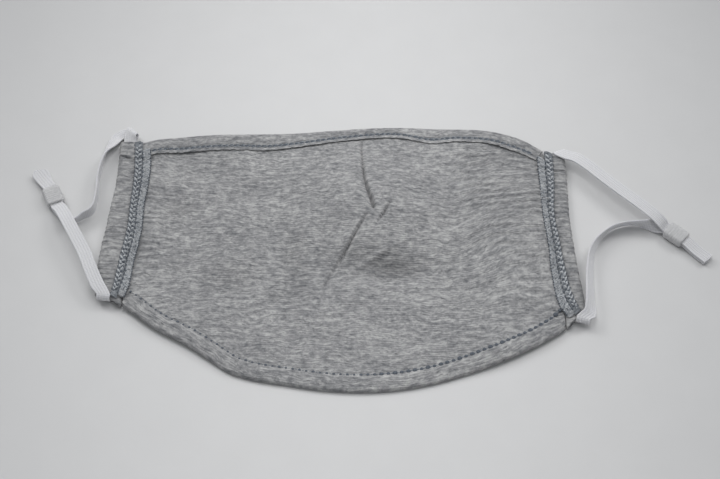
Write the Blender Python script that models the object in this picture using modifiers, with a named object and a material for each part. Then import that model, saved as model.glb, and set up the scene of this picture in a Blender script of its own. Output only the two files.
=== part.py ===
"""Cloth face mask lying on its outer face, inside up, with two adjustable elastic ear loops.

Metres, +Z up, +Y towards the nose edge. A place on the cloth is given by its distance s from the
mask's middle and its height y; SIDE_LEAN turns the pair into world X and Y.
"""
import math

import bmesh
import bpy
import numpy as np

# Driving dimensions, in metres
MASK_WIDTH = 0.2108        # between the outer edges of the two side casings
SIDE_HEIGHT = 0.0870       # length of each side casing
TOP_RISE = 0.0159          # nose edge above the casings' upper ends
BOTTOM_DROP = 0.0426       # chin edge below the casings' lower ends
PANEL_WALL = 0.0016        # two layers of jersey
CLOTH_WALL = 0.0009        # one turned layer of jersey
HEM_WIDTH = 0.0086         # turned-in edge, measured inwards from the fold
CASING_WIDTH = 0.0092      # flattened tunnel for the elastic
SEAM_WIDTH = 0.0082        # overlocked band on each casing's inner edge
SEAM_HEIGHT = 0.0011
ELASTIC_WIDTH = 0.0060
ELASTIC_THICKNESS = 0.0009
ELASTIC_CLEARANCE = 0.00035
LOOP_REACH = 0.0400        # how far an ear loop's free route is counted beyond the casing
TAIL_LENGTH = 0.0138       # elastic past the adjuster
ADJUSTER_LENGTH = 0.0098
ADJUSTER_WALL = 0.0008
CROWN_HEIGHT = 0.0052      # how high the fullness round the nose dart stands off the floor
FOLD_DEPTH = 0.0026        # deepest fold, at the point of the nose dart
SEWN_GAP = 0.0003          # between cloth faces that touch on the real mask

# How the mask lies
SIDE_LEAN = 0.063          # X lost for each unit of Y
SIDE_BOW = 0.0044          # furthest that a casing's outer edge lies off a straight line
BOW_REACH = 0.0140         # how far in from that edge the cloth is drawn along

# Small shapes, as shares of the size named with them
PANEL_SLOPE = (2.0, 1.4)   # of CASING_WIDTH: where the panel starts to rise to a casing, and how far it takes
HEM_ROUND = 0.35           # of CLOTH_WALL: rounding of the hem's fold
ADJUSTER_ROUND = 0.35      # of ADJUSTER_WALL: rounding of the sleeve's rims
SLEEVE_CORNER = 0.30       # of half the sleeve's height: radius of its corners
CASING_SHIFT = 0.2         # of the play in the casing: how far the elastic lies off its middle
CASING_STOPS = (0.26, 0.43, 0.48, 0.507)  # of the casing's length: the elastic's route from its middle
LEAST_SLANT = 0.9          # keeps a band from widening where its ruling is slanted
SEAM_RIDGES = (0.30, 0.85, 1.0, 0.62, 1.0, 0.85, 0.30)  # of SEAM_HEIGHT, across the overlocked band

# Mesh fineness
PANEL_COLUMNS = 42
PANEL_ROWS = 25
HEM_STATIONS = 44
SIDE_STATIONS = 13
ELASTIC_STEP = 0.0027

# Sizes that follow
HALF_WIDTH = MASK_WIDTH / 2
HALF_SIDE = SIDE_HEIGHT / 2
CASING_HEIGHT = ELASTIC_THICKNESS + 2 * ELASTIC_CLEARANCE + 2 * CLOTH_WALL
CASING_MIDDLE = HALF_WIDTH - CASING_WIDTH / 2
PANEL_HALF = HALF_WIDTH - CASING_WIDTH - SEWN_GAP
PANEL_INSET = CLOTH_WALL + SEWN_GAP
LAYER_STEP = ELASTIC_THICKNESS + ELASTIC_CLEARANCE
ADJUSTER_HEIGHT = 2 * ELASTIC_THICKNESS + 3 * ELASTIC_CLEARANCE + 2 * ADJUSTER_WALL
ADJUSTER_WIDTH = ELASTIC_WIDTH + 2 * ELASTIC_CLEARANCE + 2 * ADJUSTER_WALL

# Nose edge: share of the half width, share of TOP_RISE
TOP_EDGE = [(-1.0, 0.0), (-0.90, 0.05), (-0.82, 0.22), (-0.685, 0.36), (-0.55, 0.44), (-0.41, 0.50),
            (-0.28, 0.59), (-0.14, 0.71), (0.0, 0.83), (0.135, 0.94), (0.27, 1.0), (0.41, 1.0),
            (0.545, 0.99), (0.68, 0.92), (0.77, 0.77), (0.855, 0.48), (0.92, 0.18), (1.0, 0.0)]

# Chin edge: share of the half width, share of BOTTOM_DROP
BOTTOM_EDGE = [(-1.0, 0.0), (-0.96, 0.03), (-0.885, 0.17), (-0.80, 0.33), (-0.64, 0.55), (-0.56, 0.68),
               (-0.46, 0.84), (-0.41, 0.88), (-0.22, 0.955), (-0.10, 0.99), (0.0, 1.0), (0.11, 0.99),
               (0.22, 0.955), (0.34, 0.885), (0.46, 0.785), (0.585, 0.66), (0.71, 0.51), (0.84, 0.32),
               (0.905, 0.205), (0.94, 0.115), (0.965, 0.06), (1.0, 0.01)]

# Bow of each side: share of half the side upwards, share of SIDE_BOW outwards
LEFT_BOW = [(-1.0, 0.90), (-0.70, 1.0), (-0.43, 0.89), (-0.17, 0.60), (0.09, 0.38), (0.22, 0.25),
            (0.35, 0.10), (0.55, 0.0), (1.0, 0.0)]
RIGHT_BOW = [(-1.0, 0.06), (-0.77, 0.06), (-0.50, -0.10), (-0.20, -0.20), (0.19, -0.25), (0.55, -0.05),
             (0.80, 0.08), (1.0, 0.12)]

# Overlocked band: share of the side's length upwards, distances of its outer and inner edge from
# the casing's outer edge as shares of CASING_WIDTH and of SEAM_WIDTH more
LEFT_SEAM = [(0.0, 0.59, 0.52), (0.12, 0.73, 0.56), (0.25, 0.81, 0.57), (0.45, 0.92, 0.68),
             (0.60, 0.905, 0.72), (0.80, 0.90, 0.90), (1.0, 0.77, 0.95)]
RIGHT_SEAM = [(0.0, 0.26, 0.66), (0.12, 0.56, 0.76), (0.30, 0.70, 0.78), (0.45, 0.77, 0.66),
              (0.60, 0.84, 0.68), (0.80, 0.69, 0.82), (1.0, 0.625, 0.90)]

# Places where the cloth stands off the floor: centre and reach across as shares of the half width,
# centre and reach along as shares of half the side, height as a share of CROWN_HEIGHT
RISES = [
    ("fullness round the dart", 0.12, 0.60, 0.28, 1.02, 1.00),
    ("chin edge, left", -0.64, 0.40, -1.36, 0.72, 0.86),
    ("chin edge, right", 0.62, 0.32, -1.40, 0.42, 0.30),
    ("nose edge, left", -0.50, 0.34, 1.16, 0.36, 0.26),
    ("nose edge, right", 0.66, 0.26, 1.16, 0.36, 0.34),
]

# Folds pressed into the fullness: the line they follow as shares of the half width and of half
# the side, reach to each side as a share of the half width, depth as a share of FOLD_DEPTH
FOLDS = [
    ("nose dart", [(0.091, 1.12), (0.097, 0.97), (0.102, 0.80), (0.108, 0.59), (0.121, 0.43),
                   (0.137, 0.29), (0.148, 0.17)], 0.055, [0.25, 0.45, 0.60, 0.75, 0.95, 1.0, 0.0]),
    ("long crease", [(0.101, 0.05), (0.063, -0.09), (0.028, -0.26), (-0.008, -0.43), (-0.05, -0.60),
                     (-0.068, -0.74)], 0.050, [0.0, 0.45, 0.60, 0.50, 0.30, 0.0]),
    ("short crease", [(0.215, 0.26), (0.182, 0.12), (0.151, -0.02)], 0.045, [0.0, 0.5, 0.0]),
]

# Free elastic from a casing's mouth to the adjuster: distance beyond the casing's outer edge as a
# share of LOOP_REACH, height on the mask as a share of half the side, height off the floor and how
# far the band leans on edge, in degrees. The first row of each is its fold: the crease's direction
# in degrees and the band's heights before and after it, as shares of ELASTIC_WIDTH.
LEFT_UPPER = {
    "end": -1, "crease": (-0.005, -1.060, -6, 0.32, 0.84),
    "route": [(0.068, -0.930, 0.98, 0), (0.155, -0.745, 1.10, 0), (0.24, -0.559, 1.17, 0),
              (0.352, -0.366, 1.20, 0), (0.470, -0.166, 1.17, 0), (0.535, -0.055, 1.03, 0),
              (0.598, 0.048, 0.74, 0)]}
LEFT_LOWER = {
    "end": 1, "crease": (-0.126, 1.152, 138, 0.92, 0.17),
    "route": [(-0.046, 1.160, 0.18, 0), (0.032, 1.118, 0.22, 4), (0.110, 0.965, 0.40, 34),
              (0.168, 0.814, 0.53, 68), (0.198, 0.646, 0.56, 84), (0.212, 0.483, 0.56, 88),
              (0.205, 0.322, 0.56, 90), (0.213, 0.177, 0.56, 90), (0.232, 0.071, 0.56, 90),
              (0.275, 0.020, 0.56, 88), (0.340, -0.020, 0.56, 84), (0.405, -0.072, 0.54, 74),
              (0.462, -0.090, 0.48, 60), (0.525, -0.045, 0.40, 38), (0.580, 0.020, 0.31, 14)]}
RIGHT_UPPER = {
    "end": 1, "crease": (-0.055, 1.080, 12, 0.34, 0.88),
    "route": [(0.045, 1.010, 0.98, 0), (0.125, 0.955, 1.03, 0), (0.267, 0.818, 1.06, 0),
              (0.372, 0.715, 1.06, 0), (0.575, 0.517, 1.08, 0), (0.780, 0.326, 1.13, 0),
              (0.932, 0.182, 1.06, 0), (1.006, 0.115, 0.78, 0)]}
RIGHT_LOWER = {
    "end": -1, "crease": (-0.055, -1.122, -13, 0.32, 0.84),
    "route": [(0.028, -1.055, 0.91, 15), (0.051, -0.950, 0.95, 35), (0.060, -0.820, 0.94, 44),
              (0.083, -0.637, 0.84, 47), (0.115, -0.453, 0.70, 52), (0.150, -0.303, 0.62, 60),
              (0.220, -0.152, 0.57, 70), (0.302, -0.048, 0.56, 80), (0.427, 0.053, 0.56, 86),
              (0.570, 0.110, 0.56, 88), (0.712, 0.129, 0.55, 84), (0.832, 0.122, 0.49, 64),
              (0.912, 0.118, 0.38, 36), (0.985, 0.110, 0.30, 12)]}

# Adjuster: where its middle lies, counted as above, and the direction of its bore and of the tails
LEFT_ADJUSTER = {"side": -1, "place": (0.712, 0.236), "bore": 118, "tails": 124}
RIGHT_ADJUSTER = {"side": 1, "place": (1.152, 0.010), "bore": -40, "tails": -45}

# Colours as red, green, blue in linear light, then roughness
JERSEY = ((0.280, 0.283, 0.290), 0.95)
OVERLOCK = ((0.170, 0.190, 0.215), 0.85)
ELASTIC = ((0.760, 0.760, 0.775), 0.80)
SILICONE = ((0.640, 0.640, 0.650), 0.45)


def between(table, share, column=1):
    """Value of a table's column at a share along its first column, on a smooth curve."""
    xs = [row[0] for row in table]
    ys = [row[column] for row in table]
    share = min(max(share, xs[0]), xs[-1])
    k = max(1, next(i for i in range(1, len(xs)) if share <= xs[i]))
    slopes = np.gradient(ys, xs)
    span = xs[k] - xs[k - 1]
    t = (share - xs[k - 1]) / span
    rise = ys[k] - ys[k - 1]
    start, end = slopes[k - 1] * span, slopes[k] * span
    return ys[k - 1] + start * t + (3 * rise - 2 * start - end) * t**2 + (start + end - 2 * rise) * t**3


def top_edge(s):
    return HALF_SIDE + TOP_RISE * between(TOP_EDGE, s / HALF_WIDTH)


def bottom_edge(s):
    return -HALF_SIDE - BOTTOM_DROP * between(BOTTOM_EDGE, s / HALF_WIDTH)


def panel_ends(s):
    """Lower and upper end of the panel under its hems at s."""
    ends = []
    step = 0.01 * HALF_WIDTH
    for edge, inward in ((bottom_edge, 1), (top_edge, -1)):
        slope = (edge(s + step) - edge(s - step)) / (2 * step)
        ends.append(edge(s) + inward * PANEL_INSET * math.hypot(1, slope))
    return ends


def smooth_step(t):
    t = min(max(t, 0.0), 1.0)
    return t * t * (3 - 2 * t)


def side_bow(s, y):
    """How far the cloth is drawn outwards beside a casing, along s."""
    near = smooth_step((abs(s) - HALF_WIDTH) / BOW_REACH + 1)
    table = LEFT_BOW if s < 0 else RIGHT_BOW
    return math.copysign(near * SIDE_BOW, s) * between(table, y / HALF_SIDE)


def leant(s, y, z):
    """World place of the point s from the middle and y above it."""
    return np.array((s - SIDE_LEAN * y, y, z))


def world(s, y, z):
    """World place of a point of the cloth, whose sides are bowed."""
    return leant(s + side_bow(s, y), y, z)


def fold_depth(s, y):
    """How far the folds sink the cloth at s, y."""
    depth = 0.0
    for _name, line, reach_share, depths in FOLDS:
        reach = reach_share * HALF_WIDTH
        best = 0.0
        for (s0, y0), (s1, y1), d0, d1 in zip(line, line[1:], depths, depths[1:]):
            start = np.array((s0 * HALF_WIDTH, y0 * HALF_SIDE))
            run = np.array((s1 * HALF_WIDTH, y1 * HALF_SIDE)) - start
            t = np.clip(np.dot(np.array((s, y)) - start, run) / np.dot(run, run), 0, 1)
            away = np.linalg.norm(np.array((s, y)) - start - t * run)
            near = max(0.0, 1 - away / reach)
            best = max(best, (d0 + (d1 - d0) * t) * near * near)
        depth += FOLD_DEPTH * best
    return depth


def lift(s, y):
    """Height of the cloth's underside over the floor at s, y."""
    height = 0.0
    for _name, s_middle, s_reach, y_middle, y_reach, share in RISES:
        across = (s / HALF_WIDTH - s_middle) / s_reach
        along = (y / HALF_SIDE - y_middle) / y_reach
        height += share * CROWN_HEIGHT * max(0.0, 1 - across**2 - along**2) ** 2
    return max(0.0, height - fold_depth(s, y))


def panel_level(s, y):
    """Height of the middle of the panel's wall: raised beside the casings to meet their middle."""
    start, reach = (share * CASING_WIDTH for share in PANEL_SLOPE)
    beside = smooth_step((abs(s) - PANEL_HALF + start) / reach)
    raised = (CASING_HEIGHT - PANEL_WALL) / 2
    return PANEL_WALL / 2 + raised * beside + lift(s, y)


def dart_drift(y):
    """How far the nose dart lies from its upper end at height y, measured across."""
    line = sorted((share_y, share_s) for share_s, share_y in FOLDS[0][1])
    return (between(line, y / HALF_SIDE) - FOLDS[0][1][0][0]) * HALF_WIDTH


def make_collection(name):
    for old in list(bpy.data.objects):
        bpy.data.objects.remove(old)
    collection = bpy.data.collections.new(name)
    bpy.context.scene.collection.children.link(collection)
    return collection


def make_material(name, look):
    colour, roughness = look
    material = bpy.data.materials.new(name)
    material.use_nodes = True
    shader = material.node_tree.nodes["Principled BSDF"]
    shader.inputs["Base Color"].default_value = (*colour, 1.0)
    shader.inputs["Roughness"].default_value = roughness
    shader.inputs["Metallic"].default_value = 0.0
    return material


def make_object(name, mesh, collection, material):
    mesh.materials.append(material)
    mesh.shade_smooth()
    mesh.set_sharp_from_angle(angle=math.radians(40))
    part = bpy.data.objects.new(name, mesh)
    collection.objects.link(part)
    return part


def skin(name, rings, holes=None):
    """Mesh through rings of points; with holes, a tube whose bore runs through those rings."""
    mesh = bmesh.new()
    walls = [[[mesh.verts.new(point) for point in ring] for ring in rings]]
    if holes:
        walls.append([[mesh.verts.new(point) for point in ring] for ring in holes])
    for wall in walls:
        for ring, following in zip(wall, wall[1:]):
            count = len(ring)
            for k in range(count):
                after = (k + 1) % count
                mesh.faces.new((ring[k], ring[after], following[after], following[k]))
    for end in (0, -1):
        if holes:
            outer, inner = walls[0][end], walls[1][end]
            count = len(outer)
            for k in range(count):
                after = (k + 1) % count
                mesh.faces.new((outer[k], outer[after], inner[after], inner[k]))
        else:
            mesh.faces.new(walls[0][end])
    bmesh.ops.recalc_face_normals(mesh, faces=mesh.faces)
    data = bpy.data.meshes.new(name)
    mesh.to_mesh(data)
    mesh.free()
    return data


def panel_mesh():
    """Open middle surface of the panel, with columns gathered along the nose dart."""
    dart = FOLDS[0][1][0][0] * HALF_WIDTH
    reach = FOLDS[0][2] * HALF_WIDTH
    columns = set(np.linspace(-PANEL_HALF, PANEL_HALF, PANEL_COLUMNS + 1))
    columns = {s for s in columns if abs(s - dart) > 1.1 * reach}
    columns |= {dart + share * reach for share in (-1.0, -0.62, -0.28, 0.0, 0.28, 0.62, 1.0)}
    drift_reach = 0.35 * HALF_WIDTH
    mesh = bmesh.new()
    grid = []
    for column in sorted(columns):
        pull = max(0.0, 1 - ((column - dart) / drift_reach) ** 2) ** 2
        low, high = panel_ends(column)
        line = []
        for row in range(PANEL_ROWS + 1):
            y = low + (high - low) * row / PANEL_ROWS
            s = column + pull * dart_drift(y) * smooth_step(min(y - low, high - y) / HALF_SIDE * 3)
            line.append(mesh.verts.new(world(s, y, panel_level(s, y))))
        grid.append(line)
    for left, right in zip(grid, grid[1:]):
        for k in range(PANEL_ROWS):
            mesh.faces.new((left[k], right[k], right[k + 1], left[k + 1]))
    data = bpy.data.meshes.new("mask_panel")
    mesh.to_mesh(data)
    mesh.free()
    return data


def add_panel(collection, material):
    panel = make_object("mask_panel", panel_mesh(), collection, material)
    wall = panel.modifiers.new("wall", "SOLIDIFY")
    wall.thickness = PANEL_WALL
    wall.offset = 0
    return panel


def hem_section():
    """Turned edge: distance inwards from the fold and height over the panel's middle."""
    half = PANEL_WALL / 2
    under = half + SEWN_GAP
    over = under + CLOTH_WALL
    round_off = HEM_ROUND * CLOTH_WALL
    return [(HEM_WIDTH, under), (HEM_WIDTH, over), (0.5 * HEM_WIDTH, over),
            (2 * round_off, over), (0.6 * round_off, over - 0.6 * round_off),
            (0.0, over - 2.2 * round_off), (0.0, round_off - half), (round_off, -half),
            (CLOTH_WALL, -half), (CLOTH_WALL, under), (0.5 * HEM_WIDTH, under)]


def hem_limits(end):
    """Where a hem stops beside the overlocked bands; end is 0 at the chin and 1 at the nose."""
    stops = []
    for side in (-1, 1):
        inner = [seam_edges(side, abs(end - share))[1] for share in (0.0, 0.05, 0.10)]
        stops.append(side * (min(inner) - SEWN_GAP))
    return stops


def add_hem(name, edge, inward, limits, collection, material):
    """Hem along an edge between two limits; inward is the sign of Y towards the cloth."""
    step = 0.01 * HALF_WIDTH
    rings = []
    for s in np.linspace(*limits, HEM_STATIONS):
        slope = (edge(s + step) - edge(s - step)) / (2 * step)
        across = np.array((-slope, 1.0)) * inward / math.hypot(1, slope)
        ring = []
        for inner, height in hem_section():
            place = np.array((s, edge(s))) + inner * across
            ring.append(world(*place, panel_level(*place) + height))
        rings.append(ring)
    return make_object(name, skin(name, rings), collection, material)


def flat_oval(half_width, half_height):
    """Section of a flattened tube, anticlockwise, with tight round sides."""
    corner = min(half_height, 0.4 * half_width)
    flat = half_width - corner
    angles = [math.radians(a) for a in (-90, -50, -18, 18, 50, 90)]
    right = [(flat + corner * math.cos(a), half_height * math.sin(a)) for a in angles]
    return right + [(-x, -z) for x, z in right]


def add_casing(side, collection, material):
    """Tunnel of turned cloth that the elastic runs through, open at both ends."""
    name = "casing_left" if side < 0 else "casing_right"
    outer = flat_oval(CASING_WIDTH / 2, CASING_HEIGHT / 2)
    inner = flat_oval(CASING_WIDTH / 2 - CLOTH_WALL, CASING_HEIGHT / 2 - CLOTH_WALL)
    walls = ([], [])
    for share in np.linspace(0, 1, SIDE_STATIONS):
        for wall, section in zip(walls, (outer, inner)):
            ring = []
            for across, height in section:
                s = side * CASING_MIDDLE + across
                y = bottom_edge(s) + (top_edge(s) - bottom_edge(s)) * share
                ring.append(world(s, y, CASING_HEIGHT / 2 + height + lift(side * CASING_MIDDLE, y)))
            wall.append(ring)
    return make_object(name, skin(name, *walls), collection, material)


def seam_edges(side, share):
    """Outer and inner edge of the overlocked band, as distances from the mask's middle."""
    table = LEFT_SEAM if side < 0 else RIGHT_SEAM
    outer = HALF_WIDTH - CASING_WIDTH * between(table, share)
    return outer, outer - SEAM_WIDTH * between(table, share, 2)


def seam_seat(distance):
    """Height of the cloth under the overlocked band: on the casing, or a step lower on the panel."""
    step = smooth_step((distance - PANEL_HALF + 1.5 * SEWN_GAP) / SEWN_GAP)
    low = (CASING_HEIGHT + PANEL_WALL) / 2
    return low + (CASING_HEIGHT - low) * step


def add_seam(side, collection, material):
    """Overlocked band with a ridge of thread along each edge."""
    name = "side_seam_left" if side < 0 else "side_seam_right"
    rings = []
    for share in np.linspace(0, 1, SIDE_STATIONS):
        outer, inner = seam_edges(side, share)
        step = PANEL_HALF + SEWN_GAP / 2
        across = np.linspace(outer, inner, len(SEAM_RIDGES))
        seats = [seam_seat(distance) for distance in across]
        if inner < step < outer:
            extra = [step - SEWN_GAP, step]
        else:
            extra = [outer - SEWN_GAP, inner + SEWN_GAP]
        lower = [(d, seam_seat(d) + SEWN_GAP) for d in sorted([*across, *extra], reverse=True)]
        upper = [(d, seat + SEWN_GAP + SEAM_HEIGHT * ridge)
                 for d, seat, ridge in zip(across, seats, SEAM_RIDGES)]
        ring = []
        for distance, height in lower + upper[::-1]:
            s = side * distance
            low, high = panel_ends(s)
            y = low + (high - low) * share
            ring.append(world(s, y, height + lift(s, y)))
        rings.append(ring)
    return make_object(name, skin(name, rings), collection, material)


def casing_row(side, share, drift=0.0):
    """Row of the elastic's route inside a casing: place, direction across, lean."""
    s = side * (CASING_MIDDLE + drift)
    y = bottom_edge(s) + (top_edge(s) - bottom_edge(s)) * share
    square = math.degrees(math.atan(SIDE_LEAN))
    return world(s, y, CASING_HEIGHT / 2 + lift(side * CASING_MIDDLE, y)), square, 0.0


def free_place(side, out, along, height):
    s = side * (HALF_WIDTH + out * LOOP_REACH)
    return leant(s, along * HALF_SIDE, height)


def crease_rows(side, end, crease):
    """Rows of the half turn that folds the band back on itself at a casing's mouth."""
    out, along, direction, before, after = crease
    low, high = before * ELASTIC_WIDTH, after * ELASTIC_WIDTH
    middle = free_place(side, out, along, (low + high) / 2)
    angle = math.radians(direction)
    away = np.array((-math.sin(angle), math.cos(angle), 0.0))
    away *= end * math.copysign(1, away[1])
    radius = abs(high - low) / 2
    rows = []
    for turn in (0, 45, 90, 135, 180):
        bulge = radius * math.sin(math.radians(turn))
        rise = (low - high) / 2 * math.cos(math.radians(turn))
        rows.append((middle + away * bulge + np.array((0, 0, rise)), direction, 0.0))
    return rows


def adjuster_frame(adjuster):
    """Middle of the adjuster's underside and its bore's direction."""
    out, along = adjuster["place"]
    angle = math.radians(adjuster["bore"])
    return free_place(adjuster["side"], out, along, 0.0), np.array((math.cos(angle), math.sin(angle), 0))


def strand_rows(side, strand, adjuster, layer):
    """Rows from the middle of the casing to the tip of the tail; layer is 1 over, -1 under."""
    end = strand["end"]
    shift = CASING_SHIFT * (CASING_WIDTH / 2 - CLOTH_WALL - ELASTIC_WIDTH / 2)
    rows = [casing_row(side, 0.5 + end * stop, drift)
            for stop, drift in zip(CASING_STOPS, (0.0, shift / 2, shift, shift))]
    rows += crease_rows(side, end, strand["crease"])
    for out, along, height, lean in strand["route"]:
        rows.append((free_place(side, out, along, height * ELASTIC_WIDTH), None, lean))
    middle, bore = adjuster_frame(adjuster)
    height = ADJUSTER_HEIGHT / 2 + layer * LAYER_STEP / 2
    for share in (-0.60, -0.45, 0.0, 0.45, 0.60):
        place = middle + bore * share * ADJUSTER_LENGTH
        rows.append((place + np.array((0, 0, height)), None, 0.0))
    angle = math.radians(adjuster["tails"])
    tail = np.array((math.cos(angle), math.sin(angle), 0.0))
    mouth = middle + bore * 0.5 * ADJUSTER_LENGTH
    rest = ELASTIC_THICKNESS / 2 + (layer + 1) / 2 * LAYER_STEP + SEWN_GAP
    for share in (0.5, 1.0):
        drop = height + (rest - height) * smooth_step(2 * share)
        rows.append((mouth + tail * share * TAIL_LENGTH + np.array((0, 0, drop)), None, 0.0))
    return rows


def settle_rulings(rows):
    """Direction across the band at each row, unbroken along it, as (place, across, lean)."""
    places = [row[0] for row in rows]
    settled = []
    previous = None
    for k, (place, direction, lean) in enumerate(rows):
        if direction is None:
            run = places[min(k + 1, len(rows) - 1)] - places[max(k - 1, 0)]
            direction = math.degrees(math.atan2(run[1], run[0])) + 90
        if previous is not None:
            direction += 180 * round((previous - direction) / 180)
        settled.append(np.array((*place, direction, lean)))
        previous = direction
    given = [row[1] is not None for row in rows]
    for k in range(1, len(rows) - 1):
        if not given[k] and (given[k - 1] or given[k + 1]):
            beside = settled[k - 1] if given[k - 1] else settled[k + 1]
            settled[k][3] = (settled[k][3] + beside[3]) / 2
    return settled


def smooth_route(rows):
    """Points of a centripetal curve through the rows, about ELASTIC_STEP apart."""
    rows = [2 * rows[0] - rows[1]] + rows + [2 * rows[-1] - rows[-2]]
    route = []
    for p0, p1, p2, p3 in zip(rows, rows[1:], rows[2:], rows[3:]):
        knots = [0.0]
        for a, b in ((p0, p1), (p1, p2), (p2, p3)):
            knots.append(knots[-1] + max(np.linalg.norm(b[:3] - a[:3]), 1e-6) ** 0.5)
        pieces = max(1, round(np.linalg.norm(p2[:3] - p1[:3]) / ELASTIC_STEP))
        for k in range(pieces):
            t = knots[1] + (knots[2] - knots[1]) * k / pieces
            a1 = p0 + (p1 - p0) * (t - knots[0]) / (knots[1] - knots[0])
            a2 = p1 + (p2 - p1) * (t - knots[1]) / (knots[2] - knots[1])
            a3 = p2 + (p3 - p2) * (t - knots[2]) / (knots[3] - knots[2])
            b1 = a1 + (a2 - a1) * (t - knots[0]) / (knots[2] - knots[0])
            b2 = a2 + (a3 - a2) * (t - knots[1]) / (knots[3] - knots[1])
            route.append(b1 + (b2 - b1) * (t - knots[1]) / (knots[2] - knots[1]))
    route.append(rows[-2])
    return route


def band_rings(route):
    """Flat sections of the elastic along its route."""
    places = [row[:3] for row in route]
    rings = []
    for k, row in enumerate(route):
        run = places[min(k + 1, len(route) - 1)] - places[max(k - 1, 0)]
        run /= np.linalg.norm(run)
        turn, lean = math.radians(row[3]), math.radians(row[4])
        across = np.array((math.cos(turn) * math.cos(lean), math.sin(turn) * math.cos(lean),
                           math.sin(lean)))
        face = np.cross(run, across)
        slant = np.linalg.norm(face)
        face /= slant
        half = across * ELASTIC_WIDTH / 2 / max(slant, LEAST_SLANT)
        thick = face * ELASTIC_THICKNESS / 2
        rings.append([row[:3] - half - thick, row[:3] + half - thick,
                      row[:3] + half + thick, row[:3] - half + thick])
    return rings


def add_ear_loop(side, upper, lower, adjuster, collection, material):
    """One elastic band: tail, adjuster, strand, casing, strand, adjuster, tail."""
    name = "ear_loop_left" if side < 0 else "ear_loop_right"
    first = strand_rows(side, upper, adjuster, 1)
    second = strand_rows(side, lower, adjuster, -1)
    rows = first[::-1] + [casing_row(side, 0.5)] + second
    rings = band_rings(smooth_route(settle_rulings(rows)))
    return make_object(name, skin(name, rings), collection, material)


def add_adjuster(adjuster, collection, material):
    """Silicone sleeve round both strands."""
    side = adjuster["side"]
    name = "adjuster_left" if side < 0 else "adjuster_right"
    middle, bore = adjuster_frame(adjuster)
    sideways = np.array((-bore[1], bore[0], 0.0))
    middle = middle + np.array((0, 0, ADJUSTER_HEIGHT / 2))
    outer = (ADJUSTER_WIDTH / 2, ADJUSTER_HEIGHT / 2)
    inner = (outer[0] - ADJUSTER_WALL, outer[1] - ADJUSTER_WALL)
    walls = ([], [])
    for share in (-0.5, -0.44, 0.44, 0.5):
        rim = 1.0 if abs(share) < 0.5 else 1 - ADJUSTER_ROUND * ADJUSTER_WALL / outer[1]
        for wall, (half_width, half_height), scale in ((walls[0], outer, rim), (walls[1], inner, 1.0)):
            wall.append([middle + bore * share * ADJUSTER_LENGTH + sideways * x * scale
                         + np.array((0, 0, z * scale))
                         for x, z in square_oval(half_width, half_height)])
    return make_object(name, skin(name, *walls), collection, material)


def square_oval(half_width, half_height):
    """Rounded oblong, anticlockwise, roomy enough in its corners for a flat band."""
    corner = SLEEVE_CORNER * half_height
    ring = []
    for quarter, (x, z) in enumerate(((1, 1), (-1, 1), (-1, -1), (1, -1))):
        for turn in (0, 45, 90):
            angle = math.radians(90 * quarter + turn)
            ring.append((x * (half_width - corner) + corner * math.cos(angle),
                         z * (half_height - corner) + corner * math.sin(angle)))
    return ring


def centre_on_floor(parts):
    """Move the parts together so that the origin is the bottom centre of them all."""
    bpy.context.view_layer.update()
    graph = bpy.context.evaluated_depsgraph_get()
    points = []
    for part in parts:
        mesh = part.evaluated_get(graph).data
        points += [part.matrix_world @ vertex.co for vertex in mesh.vertices]
    lowest = np.min(points, axis=0)
    highest = np.max(points, axis=0)
    middle = (lowest + highest) / 2
    for part in parts:
        part.location = (-middle[0], -middle[1], -lowest[2])


def main():
    collection = make_collection("cloth_face_mask")
    jersey = make_material("heather_jersey", JERSEY)
    turned = make_material("turned_jersey", JERSEY)
    tunnel = make_material("casing_jersey", JERSEY)
    overlock = make_material("overlock_thread", OVERLOCK)
    elastic = make_material("flat_elastic", ELASTIC)
    silicone = make_material("clear_silicone", SILICONE)

    parts = [add_panel(collection, jersey)]
    parts.append(add_hem("top_hem", top_edge, -1, hem_limits(1), collection, turned))
    parts.append(add_hem("bottom_hem", bottom_edge, 1, hem_limits(0), collection, turned))
    strands = {-1: (LEFT_UPPER, LEFT_LOWER, LEFT_ADJUSTER), 1: (RIGHT_UPPER, RIGHT_LOWER, RIGHT_ADJUSTER)}
    for side, (upper, lower, adjuster) in strands.items():
        parts.append(add_casing(side, collection, tunnel))
        parts.append(add_seam(side, collection, overlock))
        parts.append(add_ear_loop(side, upper, lower, adjuster, collection, elastic))
        parts.append(add_adjuster(adjuster, collection, silicone))
    centre_on_floor(parts)


main()
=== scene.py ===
"""Looks of a cloth face mask lying inside up: heather jersey, sewn edges, overlocked side bands,
ribbed flat elastic and clear silicone adjusters.

Metres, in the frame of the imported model. A place on the cloth is given by its distance s from the
mask's middle and its height y; SIDE_LEAN turns the pair into world X and Y.
"""
import math

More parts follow.
